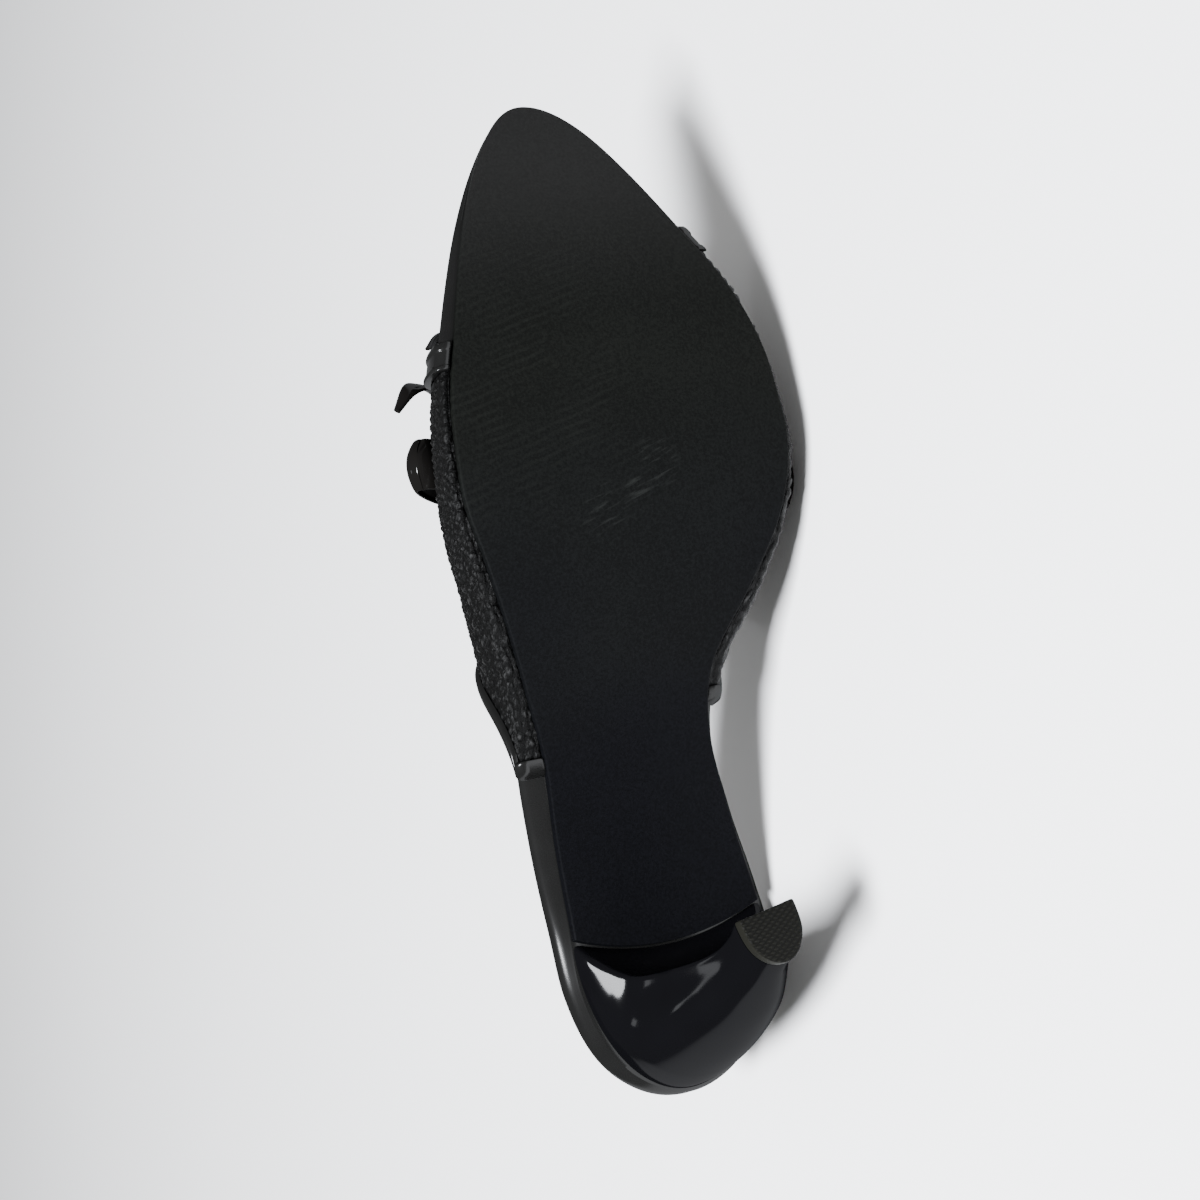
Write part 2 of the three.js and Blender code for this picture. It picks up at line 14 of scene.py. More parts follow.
import bmesh
import bpy
import numpy as np
from mathutils import Matrix, Vector
from mathutils.geometry import tessellate_polygon

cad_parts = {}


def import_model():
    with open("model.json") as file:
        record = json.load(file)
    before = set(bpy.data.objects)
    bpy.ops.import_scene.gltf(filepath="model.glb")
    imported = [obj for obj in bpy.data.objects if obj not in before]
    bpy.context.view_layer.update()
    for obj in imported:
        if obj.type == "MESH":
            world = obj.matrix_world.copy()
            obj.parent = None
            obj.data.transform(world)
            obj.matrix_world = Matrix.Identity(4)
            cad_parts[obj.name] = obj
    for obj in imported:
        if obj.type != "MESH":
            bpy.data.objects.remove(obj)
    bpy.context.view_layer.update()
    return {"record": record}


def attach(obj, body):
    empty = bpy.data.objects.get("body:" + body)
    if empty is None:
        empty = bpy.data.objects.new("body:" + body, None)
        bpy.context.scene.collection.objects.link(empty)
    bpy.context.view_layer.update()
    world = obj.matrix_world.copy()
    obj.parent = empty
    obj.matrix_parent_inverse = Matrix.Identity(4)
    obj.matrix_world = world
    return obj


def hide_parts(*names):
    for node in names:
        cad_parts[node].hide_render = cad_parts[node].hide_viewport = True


LOG = logging.getLogger("sandal")
MM = 0.001
WELD_GAP = 2e-6
SHARP_ANGLE = 40.0
Array = np.ndarray

OUTLINE_COLUMNS = ("along", "outer", "inner", "outer_rim", "inner_rim", "crest")
OUTLINE = np.array(
    [
        (0.0, 0.0, 0.0, 0.3, 0.3, 1.0),
        (0.02, 0.155, 0.155, 0.5, 0.5, 1.0),
        (0.06, 0.245, 0.245, 0.8, 0.8, 1.0),
        (0.12, 0.297, 0.297, 0.95, 0.95, 1.0),
        (0.19, 0.303, 0.276, 1.25, 0.9, 1.0),
        (0.27, 0.321, 0.219, 1.5, 0.75, 1.0),
        (0.34, 0.338, 0.174, 1.7, 0.7, 1.0),
        (0.4, 0.378, 0.192, 1.05, 1.0, 1.0),
        (0.46, 0.42, 0.315, 0.95, 0.95, 0.98),
        (0.52, 0.464, 0.427, 0.8, 0.55, 0.93),
        (0.58, 0.501, 0.485, 0.6, 0.35, 0.88),
        (0.64, 0.49, 0.498, 0.55, 0.25, 0.84),
        (0.7, 0.459, 0.494, 0.55, 0.2, 0.8),
        (0.77, 0.398, 0.443, 0.35, 0.3, 0.72),
        (0.84, 0.329, 0.346, 0.1, 0.35, 0.6),
        (0.91, 0.241, 0.247, 0.0, 0.0, 0.5),
        (0.965, 0.145, 0.15, 0.0, 0.0, 0.43),
        (1.0, 0.008, -0.008, 0.0, 0.0, 0.4),
    ]
)
HEEL_COLUMNS = ("up", "back", "breast", "width", "face", "dent")
HEEL = np.array(
    [
        (0.0, 0.522, 0.835, 0.0, 0.0, 0.02),
        (0.1, 0.456, 0.768, 0.03, -0.02, 0.12),
        (0.2, 0.38, 0.722, 0.16, 0.03, 0.25),
        (0.35, 0.267, 0.702, 0.38, 0.14, 0.45),
        (0.5, 0.18, 0.702, 0.606, 0.24, 0.6),
        (0.65, 0.107, 0.707, 0.765, 0.32, 0.7),
        (0.8, 0.05, 0.735, 0.895, 0.49, 0.8),
        (0.87, 0.028, 0.81, 0.94, 0.69, 0.9),
        (0.94, 0.01, 0.915, 0.975, 0.907, 1.0),
        (1.0, 0.0, 1.0, 1.0, 1.0, 1.0),
    ]
)


def smoothstep(value: Array, low: float, high: float) -> Array:
    """Smooth ramp, 3t^2 - 2t^3, from 0 at low to 1 at high."""
    t = np.clip((value - low) / (high - low), 0.0, 1.0)
    return t * t * (3 - 2 * t)


def mix(a: Array, b: Array, share: Array) -> Array:
    """Straight blend from a to b."""
    return a + (b - a) * share


def unit(vectors: Array) -> Array:
    """Vectors divided by their lengths."""
    return vectors / np.linalg.norm(vectors, axis=-1, keepdims=True)


def half_turn(share: Array) -> Array:
    """Angle of a half turn whose cosine runs evenly with share: acos(1 - 2 share)."""
    return np.arccos(1 - 2 * np.clip(share, 0.0, 1.0))


def share_of(angle: Array) -> Array:
    """Share for an angle of the half turn: (1 - cos angle) / 2."""
    return (1 - np.cos(angle)) / 2


def smooth_curve(places: Array, values: Array, at: Array) -> Array:
    """Cubic Hermite curve through values over places.

    Each slope is that of the chord between the two neighbours. A piece is the eased blend of its ends
    plus its span times s0 t (1 - t)^2 - s1 t^2 (1 - t).

    Args:
        places: rising places of the rows.
        values: values there, with any further axes.
        at: where the curve is read.

    Returns:
        The curve's values at those places.
    """
    rows = np.arange(len(places))
    before, after = np.maximum(rows - 1, 0), np.minimum(rows + 1, len(places) - 1)
    shape = (-1,) + (1,) * (values.ndim - 1)
    slopes = (values[after] - values[before]) / (places[after] - places[before]).reshape(shape)
    at = np.clip(at, places[0], places[-1])
    nxt = np.clip(np.searchsorted(places, at), 1, len(places) - 1)
    span = places[nxt] - places[nxt - 1]
    t = (at - places[nxt - 1]) / span
    t, span = (part.reshape(part.shape + (1,) * (values.ndim - 1)) for part in (t, span))
    bend = slopes[nxt - 1] * t * (1 - t) ** 2 - slopes[nxt] * t * t * (1 - t)
    return mix(values[nxt - 1], values[nxt], t * t * (3 - 2 * t)) + span * bend


def catmull_rom(points: Array, at: Array) -> Array:
    """Centripetal Catmull-Rom curve through points.

    The knots stand apart by the square root of the chords, and the end chords are mirrored.

    Args:
        points: (n, 3) points of the path.
        at: shares from 0 to 1, even for each piece of the path.

    Returns:
        Points of the curve.
    """
    ends = np.vstack([2 * points[0] - points[1], points, 2 * points[-1] - points[-2]])
    place = np.clip(at, 0, 1) * (len(points) - 1)
    piece = np.minimum(place.astype(int), len(points) - 2)
    t = (place - piece)[:, None]
    p0, p1, p2, p3 = (ends[piece + k] for k in range(4))
    chords = (p1 - p0, p2 - p1, p3 - p2)
    d0, d1, d2 = (np.sqrt(np.linalg.norm(chord, axis=1))[:, None] for chord in chords)
    m1 = ((p1 - p0) / d0 - (p2 - p0) / (d0 + d1) + (p2 - p1) / d1) * d1
    m2 = ((p2 - p1) / d1 - (p3 - p1) / (d1 + d2) + (p3 - p2) / d2) * d1
    return (
        p1
        + m1 * t
        + (3 * (p2 - p1) - 2 * m1 - m2) * t**2
        + (2 * (p1 - p2) + m1 + m2) * t**3
    )


@dataclass(frozen=True)
class Last:
    """The shoe's form, in mm: what sole, footbed, heel and vamp share.

    Stations along the sole are spread by the angle of a half turn, so both ends stay round.
    """

    shoe_length: float = 236.8
    ball_width: float = 84.0
    heel_height: float = 62.0
    seat_slope: float = 0.27
    toe_spring: float = 6.0
    breast_place: float = 40.8
    ball_place: float = 149.8
    toe_bend_place: float = 167.8
    sole_thickness: float = 2.5
    bed_thickness_toe: float = 2.6
    bed_thickness_heel: float = 7.0
    rim_overhang: float = 3.2
    wall: float = 2.0
    clearance: float = 0.3
    instep_height: float = 54.0
    crest_shift: float = 3.0
    fullness: float = 2 / 2.3
    toe_edge_outer: float = 175.2
    toe_edge_crest: float = 188.0
    toe_edge_inner: float = 198.3
    back_edge_outer: float = 79.8
    back_edge_crest: float = 118.0
    back_edge_inner: float = 87.8
    back_edge_sweep: float = 0.6
    binding_thickness: float = 1.4
    breast_dent: float = 5.3
    pad_end: float = 1.6
    thin_start: float = 0.85
    tuck_radius: float = 0.8
    tuck_share: float = 0.8
    tuck_gap: float = 0.1
    tuck_inside: float = -0.3
    band_width: float = 6.0
    binding_width: float = 2.8
    fore_rim: tuple = (155.0, 180.0, 196.0, 233.0)
    slope_step: float = 0.2
    normal_step: float = 0.01
    strand_blend: float = 0.6

    @property
    def sole_start(self) -> float:
        """Back end of the sole, inside the rim."""
        return self.rim_overhang * OUTLINE[0][OUTLINE_COLUMNS.index("outer_rim")]

    @property
    def sole_length(self) -> float:
        """Length of the sole from its back end to the toe."""
        return self.shoe_length - self.sole_start

    def outline_at(self, x: Array, column: str) -> Array:
        """One column of the outline at x."""
        places = half_turn(OUTLINE[:, 0])
        at = half_turn((x - self.sole_start) / self.sole_length)
        return smooth_curve(places, OUTLINE[:, OUTLINE_COLUMNS.index(column)], at)

    def sole_under(self, x: Array) -> Array:
        """Height of the sole's underside: sloping seat, arch, flat ball and rising toe."""
        seat = self.heel_height - self.seat_slope * x
        span = self.ball_place - self.breast_place
        t = (self.ball_place - x) / span
        rise = self.heel_height - self.seat_slope * self.breast_place
        arch = rise * t * t * (3 - 2 * t) - self.seat_slope * span * t * t * (1 - t)
        toe = np.maximum(0, (x - self.toe_bend_place) / (self.shoe_length - self.toe_bend_place))
        front = self.toe_spring * toe * toe
        return np.where(x < self.breast_place, seat, np.where(x < self.ball_place, arch, front))

    def bed_under(self, x: Array) -> Array:
        """Height of the footbed's underside."""
        return self.sole_under(x) + self.sole_thickness + self.clearance

    def bed_thickness(self, x: Array) -> Array:
        """Thickness of the footbed: thin under the ball, padded from the arch back."""
        share = smoothstep(x, self.breast_place * self.pad_end, self.ball_place * self.thin_start)
        return mix(self.bed_thickness_heel, self.bed_thickness_toe, share)

    def sole_half(self, x: Array, side: int) -> Array:
        """Half width of the sole on the outer side (-1) or the inner side (1)."""
        return self.ball_width * self.outline_at(x, "outer" if side < 0 else "inner")

    def rim_past(self, x: Array, side: int) -> Array:
        """How far the footbed's rim and the vamp stand past the sole's edge."""
        return self.rim_overhang * self.outline_at(x, "outer_rim" if side < 0 else "inner_rim")

    def fore_edge(self, x: Array) -> Array:
        """From 0 to 1 where the rim shows beside the forefoot, between the ball and the toe's tip."""
        rise, full, fall, end = self.fore_rim
        return smoothstep(x, rise, full) * (1 - smoothstep(x, fall, end))

    def side_line(self, side: int, start: float, steps: int, past: Callable, level: Callable) -> Array:
        """One side of a sole level, from start to the toe.

        Each point of the outline moves past(x) along the outline's normal, then lies at level(x).

        Args:
            side: -1 for the outer side, 1 for the inner side.
            start: x of the first point.
            steps: number of steps to the toe.
            past: distance past the outline, from x.
            level: height, from the moved x.

        Returns:
            (steps + 1, 3) points.
        """
        first = half_turn((start - self.sole_start) / self.sole_length)
        x = self.sole_start + self.sole_length * share_of(np.linspace(first, np.pi, steps + 1))
        before = np.maximum(x - self.slope_step, self.sole_start)
        after = np.minimum(x + self.slope_step, self.shoe_length)
        slope = (self.sole_half(after, side) - self.sole_half(before, side)) / (after - before)
        way = unit(np.stack([-slope, np.ones_like(x)], -1))
        way[-1] = (1, 0)
        if start <= self.sole_start:
            way[0] = (-1, 0)
        out = past(x)
        y = side * np.maximum(self.sole_half(x, side) + way[:, 1] * out, 0)
        y[-1] = -self.sole_half(x[-1:], -1)[0]
        reach = x + way[:, 0] * out
        return np.stack([reach, y, level(reach)], -1)

    def level_lines(self, start: float, steps: int, past: Callable, level: Callable) -> list:
        """Outer and inner line of a level, as in side_line, with past from x and the side."""
        return [self.side_line(side, start, steps, lambda x, side=side: past(x, side), level)
                for side in (-1, 1)]

    def vamp_face(self, x: Array, angle: Array) -> Array:
        """The vamp's outer face: half superellipses, angle 0 at the outer base, pi at the inner one."""
        outer = self.sole_half(x, -1) + self.rim_past(x, -1) + self.crest_shift
        inner = self.sole_half(x, 1) + self.rim_past(x, 1) - self.crest_shift
        half = np.where(angle < np.pi / 2, -outer, inner)
        across = np.abs(np.cos(angle)) ** self.fullness
        up = np.maximum(np.sin(angle), 0) ** self.fullness
        height = self.instep_height * self.outline_at(x, "crest")
        return np.stack([x, self.crest_shift + half * across, self.bed_under(x) + height * up], -1)

    def vamp_normal(self, x: Array, angle: Array) -> Array:
        """Outward normal of the vamp's face, from differences both ways."""
        step = self.normal_step
        low, high = np.maximum(angle - step, 0), np.minimum(angle + step, np.pi)
        around = self.vamp_face(x, high) - self.vamp_face(x, low)
        forward = self.vamp_face(x + step, angle) - self.vamp_face(x - step, angle)
        return unit(np.cross(forward, around))

    def vamp_point(self, x: Array, angle: Array, lift: Array) -> Array:
        """Point at a distance from the vamp's face along its normal."""
        lift = np.broadcast_to(lift, np.shape(x))[..., None]
        return self.vamp_face(x, angle) + self.vamp_normal(x, angle) * lift

    def front_of(self, angle: Array) -> Array:
        """x of the vamp's front edge: a quadratic curve from the outer to the inner base."""
        t = angle / np.pi
        lead = 2 * self.toe_edge_crest - (self.toe_edge_outer + self.toe_edge_inner) / 2
        return self.toe_edge_outer * (1 - t) ** 2 + 2 * t * (1 - t) * lead + self.toe_edge_inner * t * t

    def back_of(self, angle: Array) -> Array:
        """x of the vamp's back edge: forward from both bases to the crest, by a power of the sine."""
        base = mix(self.back_edge_outer, self.back_edge_inner, angle / np.pi)
        return mix(base, self.back_edge_crest, np.maximum(np.sin(angle), 0) ** self.back_edge_sweep)

    def tucked(self, x: Array, side: int, way: Array, lift: Array) -> Array:
        """A margin that rounds under the vamp's base and runs in to the sole's edge.

        A quarter circle leads down from the base, then a straight line leads inwards.

        Args:
            x: places along the shoe.
            side: -1 for the outer side, 1 for the inner side.
            way: distances from the base along the margin, in mm.
            lift: distances out of the margin's face.

        Returns:
            Points of the margin.
        """
        reach = self.rim_past(x, side)
        radius = np.minimum(self.tuck_radius, self.tuck_share * reach)
        turn = np.minimum(way / radius, np.pi / 2)
        inward = np.clip(way - radius * np.pi / 2, 0, np.maximum(reach - radius - self.tuck_gap, 0))
        y = self.sole_half(x, side) + reach - radius + (radius + lift) * np.cos(turn) - inward
        z = self.bed_under(x) - (radius + lift) * np.sin(turn)
        return np.stack([x, side * y, z], -1)

    def strand_angle(self, share: Array) -> Array:
        """Angle of a strand: an even spread blended with one that is closer near the bases."""
        return np.pi * mix(share, share_of(np.pi * share), self.strand_blend)


LAST = Last()


@dataclass
class Pose:
    """Where the standing shoe lies in the row frame, from the record's two resting faces."""

    lift_place: tuple = (27.8, 0.9, 0.0)
    forefoot_place: tuple = (158.0, 0.0, 0.0)
    turn: Array = field(init=False)
    shift: Array = field(init=False)

    def read(self, record: dict) -> "Pose":
        """Works out the turn and shift.

        Up is against the faces' outward normal. The line from the lift to the forefoot, known in both
        frames, fixes the rest.

        Args:
            record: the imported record, with its mounts.

        Returns:
            This pose, ready for use.
        """
        mounts = {mount["name"]: mount for mount in record["mounts"]}
        lift, fore = (np.array(mounts[name]["pos_m"]) for name in ("lift_face", "forefoot_flat"))
        up = -unit(np.array(mounts["lift_face"]["axis"]))
        line = unit(fore - lift - up * np.dot(fore - lift, up))
        own = unit(np.array(self.forefoot_place) - np.array(self.lift_place))
        own_basis = np.stack([own, np.cross((0, 0, 1), own), (0, 0, 1)], 1)
        row_basis = np.stack([line, np.cross(up, line), up], 1)
        self.turn = row_basis @ own_basis.T
        self.shift = fore - self.turn @ (np.array(self.forefoot_place) * MM)
        return self

    def lay(self, points: Array) -> Array:
        """Points of the standing shoe, in mm, put into the row frame in metres."""
        return points * MM @ self.turn.T + self.shift


POSE = Pose()


def ring_faces(rows: int, columns: int) -> Array:
    """Quads between rings: each joins two neighbours of a ring and the same two of the next one.

    Args:
        rows: number of rings.
        columns: points in a ring, whose last one joins its first.

    Returns:
        (n, 4) vertex indices.
    """
    i, j = (part.ravel() for part in np.meshgrid(np.arange(rows - 1), np.arange(columns), indexing="ij"))
    here, there, beside = i * columns, (i + 1) * columns, (j + 1) % columns
    return np.stack([here + j, here + beside, there + beside, there + j], -1)


def make_mesh(
    name: str, points: Array, faces: list, sharp: float, relief: Optional[Array], gap: float
) -> bpy.types.Object:
    """Puts points and faces into a smooth shaded object that lies in the row frame.

    Args:
        name: object name.
        points: (n, 3) points of the standing shoe in mm.
        faces: lists of vertex indices.
        sharp: edges that turn by more than this many degrees stay sharp.
        relief: one value for each point, kept as the attribute relief.
        gap: points nearer than this in m are joined; nought where none meet.

    Returns:
        The new object, at the origin.
    """
    mesh = bpy.data.meshes.new(name)
    mesh.from_pydata(POSE.lay(points), [], faces)
    if relief is not None:
        attribute = mesh.attributes.new("relief", "FLOAT", "POINT")
        attribute.data.foreach_set("value", relief.astype(np.float32))
    piece = bpy.data.objects.new(name, mesh)
    bpy.context.scene.collection.objects.link(piece)
    weld_points(mesh, gap)
    mesh.validate()
    mesh.shade_smooth()
    mesh.set_sharp_from_angle(angle=np.radians(sharp))
    mesh.update()
    return piece


def weld_points(mesh: bpy.types.Mesh, gap: float) -> None:
    """Joins points within the gap, drops faces without area and turns all faces outwards."""
    work = bmesh.new()
    work.from_mesh(mesh)
    if gap:
        bmesh.ops.remove_doubles(work, verts=work.verts, dist=gap)
        bmesh.ops.dissolve_degenerate(work, edges=work.edges, dist=gap / 2)
    bmesh.ops.recalc_face_normals(work, faces=work.faces)
    work.to_mesh(mesh)
    work.free()


def fold_cap(size: int, mirror: int) -> Array:
    """Faces of a ring whose two halves face each other.

    Point i faces point mirror - i, and each face joins two such pairs.

    Args:
        size: points in the ring.
        mirror: sum of the places of two facing points, odd, while size is even.

    Returns:
        (n, 4) places in the ring.
    """
    i = np.arange((mirror + 1) // 2, (mirror + size - 1) // 2)
    return np.stack([i, i + 1, mirror - i - 1, mirror - i], -1) % size


def strip_cap(size: int, share: int) -> Array:
    """Triangles between a line of points and a plainer one that runs back beside it.

    Each point of the first line joins the nearest one of the second, which has one for every share.

    Args:
        size: points in the first line, one more than a multiple of share.
        share: steps of the first line for one step of the second.

    Returns:
        (n, 3) places in the ring that the two lines make.
    """
    near = (np.arange(size) + share // 2) // share
    other = size + near[-1] - near
    i = np.arange(size - 1)
    steps = i[near[1:] != near[:-1]]
    along = np.stack([i, i + 1, other[:-1]], -1)
    between = np.stack([steps + 1, other[steps + 1], other[steps]], -1)
    return np.vstack([along, between])


def flat_cap(profile: Array) -> Array:
    """Triangles of a flat closed profile, which may be hollow."""
    corners = [[Vector((x, y, 0.0)) for x, y in profile.tolist()]]
    return np.array(tessellate_polygon(corners))


def loft(
    name: str, rings: Array, cap: Array, sharp: float = SHARP_ANGLE, relief: Optional[Array] = None,
    ends: tuple = (True, True), gap: float = WELD_GAP
) -> bpy.types.Object:
    """Closed skin over a row of rings.

    Args:
        name: object name.
        rings: (rows, points, 3) rings of the standing shoe in mm.
        cap: faces that close a ring, as places in it.
        sharp: edges that turn by more than this many degrees stay sharp.
        relief: one value for each ring point, kept as the attribute relief.
        ends: whether the first and the last ring are capped; one that shuts to a line isn't.
        gap: points nearer than this in m are joined.

    Returns:
        The new object.
    """
    rows, columns = rings.shape[:2]
    last = (rows - 1) * columns
    faces = ring_faces(rows, columns).tolist()
    if ends[0]:
        faces += cap[:, ::-1].tolist()
    if ends[1]:
        faces += (cap + last).tolist()
    values = None if relief is None else relief.ravel()
    return make_mesh(name, rings.reshape(-1, 3), faces, sharp, values, gap)


def round_profile(corners: Array, radii: Array, steps: int = 4) -> Array:
    """Closed profile with rounded corners.

    Each corner becomes a quadratic curve between the points one radius before and after it, no
    further than 45% of the way to its neighbours.

    Args:
        corners: (n, 2) corners in order.
        radii: radius at each corner, in mm.
        steps: points for each corner less one.

    Returns:
        (n * (steps + 1), 2) points.
    """
    before, after = np.roll(corners, 1, 0) - corners, np.roll(corners, -1, 0) - corners
    cut = [np.minimum(radii / np.linalg.norm(way, axis=1), 0.45)[:, None] for way in (before, after)]
    start, end = corners + before * cut[0], corners + after * cut[1]
    t = np.linspace(0, 1, steps + 1)[None, :, None]
    curve = start[:, None] * (1 - t) ** 2 + 2 * corners[:, None] * t * (1 - t) + end[:, None] * t**2
    return curve.reshape(-1, 2)


class Graph:
    """Builds one node tree in a few words."""

    def __init__(self, tree: bpy.types.NodeTree) -> None:
        """Keeps the tree that the nodes go into."""
        self.tree = tree

    def add(self, kind: str, settings: Optional[dict] = None, **inputs: object) -> bpy.types.Node:
        """Adds a node.

        Args:
            kind: node type without its ShaderNode prefix.
            settings: node properties.
            **inputs: values or output sockets for its inputs, with _ for blanks in their names, or
                i and a number for an input by its place.

        Returns:
            The node.
        """
        node = self.tree.nodes.new("ShaderNode" + kind)
        for key, value in (settings or {}).items():
            setattr(node, key, value)
        for key, value in inputs.items():
            place = int(key[1:]) if key[0] == "i" and key[1:].isdigit() else key.replace("_", " ")
            self.feed(node.inputs[place], value)
        return node

    def feed(self, socket: bpy.types.NodeSocket, value: object) -> None:
        """Links an output socket to this input, or sets its value."""
        if isinstance(value, bpy.types.NodeSocket):
            self.tree.links.new(value, socket)
        else:
            socket.default_value = value

    def math(self, operation: str, *values: object) -> bpy.types.NodeSocket:
        """Output of a Math node."""
        inputs = {f"i{place}": value for place, value in enumerate(values)}
        return self.add("Math", {"operation": operation}, **inputs).outputs[0]

    def ramp(self, value: object, low: object, high: object) -> bpy.types.NodeSocket:
        """Smooth ramp of a value from 0 at low to 1 at high."""
        settings = {"interpolation_type": "SMOOTHSTEP"}
        return self.add("MapRange", settings, Value=value, From_Min=low, From_Max=high).outputs[0]

    def blend(self, share: object, a: object, b: object) -> bpy.types.NodeSocket:
        """Blend of two colours."""
        node = self.add("Mix", {"data_type": "RGBA"}, i0=share, i6=a, i7=b)
        return node.outputs[2]

    def scale(self, value: object, low: float, high: float) -> bpy.types.NodeSocket:
        """Straight map of a 0 to 1 value onto low to high."""
        return self.add("MapRange", None, Value=value, To_Min=low, To_Max=high).outputs[0]


def shade(color: tuple, factor: float = 1.0) -> tuple:
    """A colour with its parts multiplied, and an alpha of 1."""
    return (*(part * factor for part in color), 1)


def new_group(name: str, inputs: dict, outputs: dict) -> tuple[Graph, object, object]:
    """Starts a shared node group.

    Args:
        name: group name.
        inputs: for each input its socket type and default value.
        outputs: for each output its socket type.

    Returns:
        Its graph, its input node's outputs and its output node's inputs.
    """
    tree = bpy.data.node_groups.new(name, "ShaderNodeTree")
    for label, (kind, value) in inputs.items():
        socket = tree.interface.new_socket(label, in_out="INPUT", socket_type="NodeSocket" + kind)
        if value is not None:
            socket.default_value = value
    for label, kind in outputs.items():
        tree.interface.new_socket(label, in_out="OUTPUT", socket_type="NodeSocket" + kind)
    source, target = tree.nodes.new("NodeGroupInput"), tree.nodes.new("NodeGroupOutput")
    return Graph(tree), source.outputs, target.inputs


class Effects:
    """Shader groups that several finishes share, each built once."""

    def __init__(self) -> None:
        """Builds the groups."""
        self.grain = self._grain()
        self.wear = self._wear()
        self.ribs = self._ribs()

    def add_grain(
        self, graph: Graph, place: bpy.types.NodeSocket, fine: float, wave: float, share: float
    ) -> object:
        """Outputs of the grain group, with the scales of grain and waves and the grain's share."""
        return graph.add("Group", {"node_tree": self.grain}, Vector=place, Grain_Scale=fine,
                         Wave_Scale=wave, Grain_Share=share).outputs

    @staticmethod
    def _grain() -> bpy.types.NodeTree:
        """Fine grain over soft waves, as a height and a tone."""
        graph, given, out = new_group(
            "Leather grain",
            {"Vector": ("Vector", None), "Grain Scale": ("Float", 900.0),
             "Wave Scale": ("Float", 60.0), "Grain Share": ("Float", 0.4)},
            {"Height": "Float", "Tone": "Float"},
        )
        fine = graph.add("TexNoise", None, Vector=given["Vector"], Scale=given["Grain Scale"], Detail=3.0)
        wave = graph.add("TexNoise", None, Vector=given["Vector"], Scale=given["Wave Scale"], Detail=2.0)
        soft = graph.math("SUBTRACT", 1.0, given["Grain Share"])
        height = graph.math(
            "ADD",
            graph.math("MULTIPLY", fine.outputs["Fac"], given["Grain Share"]),
            graph.math("MULTIPLY", wave.outputs["Fac"], soft),
        )
        graph.feed(out["Height"], height)
        graph.feed(out["Tone"], wave.outputs["Fac"])
        return graph.tree

    @staticmethod
    def _wear() -> bpy.types.NodeTree:
        """Scuffs: thin bright streaks where stretched noise passes a limit, in broad patches."""
        graph, given, out = new_group(
            "Scuffs",
            {"Vector": ("Vector", None), "Streak Scale": ("Float", 220.0), "Patch Scale": ("Float", 25.0),
             "Limit": ("Float", 0.6)},
            {"Mask": "Float"},
        )
        streak = graph.add("TexNoise", None, Vector=given["Vector"], Scale=given["Streak Scale"],
                           Detail=6.0, Roughness=0.7, Distortion=1.5)
        patch = graph.add("TexNoise", None, Vector=given["Vector"], Scale=given["Patch Scale"], Detail=2.0)
        line = graph.ramp(streak.outputs["Fac"], given["Limit"], graph.math("ADD", given["Limit"], 0.12))
        mask = graph.math("MULTIPLY", line, graph.ramp(patch.outputs["Fac"], 0.45, 0.7))
        graph.feed(out["Mask"], mask)
        return graph.tree

    @staticmethod
    def _ribs() -> bpy.types.NodeTree:
        """Fine parallel ribs across the vector's X, waved a little by noise."""
        graph, given, out = new_group(
            "Fine ribs",
            {"Vector": ("Vector", None), "Pitch": ("Float", 0.002), "Waver": ("Float", 0.0005)},
            {"Height": "Float"},
        )
        noise = graph.add("TexNoise", None, Vector=given["Vector"], Scale=90.0, Detail=2.0)
        shift = graph.math("MULTIPLY", graph.math("SUBTRACT", noise.outputs["Fac"], 0.5), given["Waver"])
        parts = graph.add("SeparateXYZ", None, Vector=given["Vector"])
        along = graph.math("DIVIDE", graph.math("ADD", parts.outputs["X"], shift), given["Pitch"])
        wave = graph.math("SINE", graph.math("MULTIPLY", along, 2 * np.pi))
        shifted = graph.math("ADD", graph.math("MULTIPLY", wave, 0.5), 0.5)
        graph.feed(out["Height"], graph.scale(shifted, 0, 1))
        return graph.tree


@dataclass(frozen=True)
class Finish:
    """What every finish has: a name, a colour (linear RGB) and a roughness."""

    name: str
    color: tuple
    roughness: float

    def start(self) -> tuple[bpy.types.Material, Graph, bpy.types.Node, bpy.types.NodeSocket]:
        """New material with its graph, its Principled BSDF and its Object coordinates."""
        material = bpy.data.materials.new(self.name)
        material.use_nodes = True
        graph = Graph(material.node_tree)
        shader = material.node_tree.nodes["Principled BSDF"]
        shader.inputs["Base Color"].default_value = shade(self.color)
        shader.inputs["Roughness"].default_value = self.roughness
        material.diffuse_color = shade(self.color)
        return material, graph, shader, graph.add("TexCoord").outputs["Object"]

    @staticmethod
    def turned(graph: Graph, coordinates: bpy.types.NodeSocket) -> bpy.types.NodeSocket:
        """Object coordinates laid back into the standing shoe, in metres, so patterns follow it."""
        turn = Matrix(POSE.turn.T.tolist()).to_euler()
        shift = tuple((-POSE.turn.T @ POSE.shift).tolist())
        node = graph.add("Mapping", None, Vector=coordinates, Rotation=tuple(turn), Location=shift)
        return node.outputs[0]


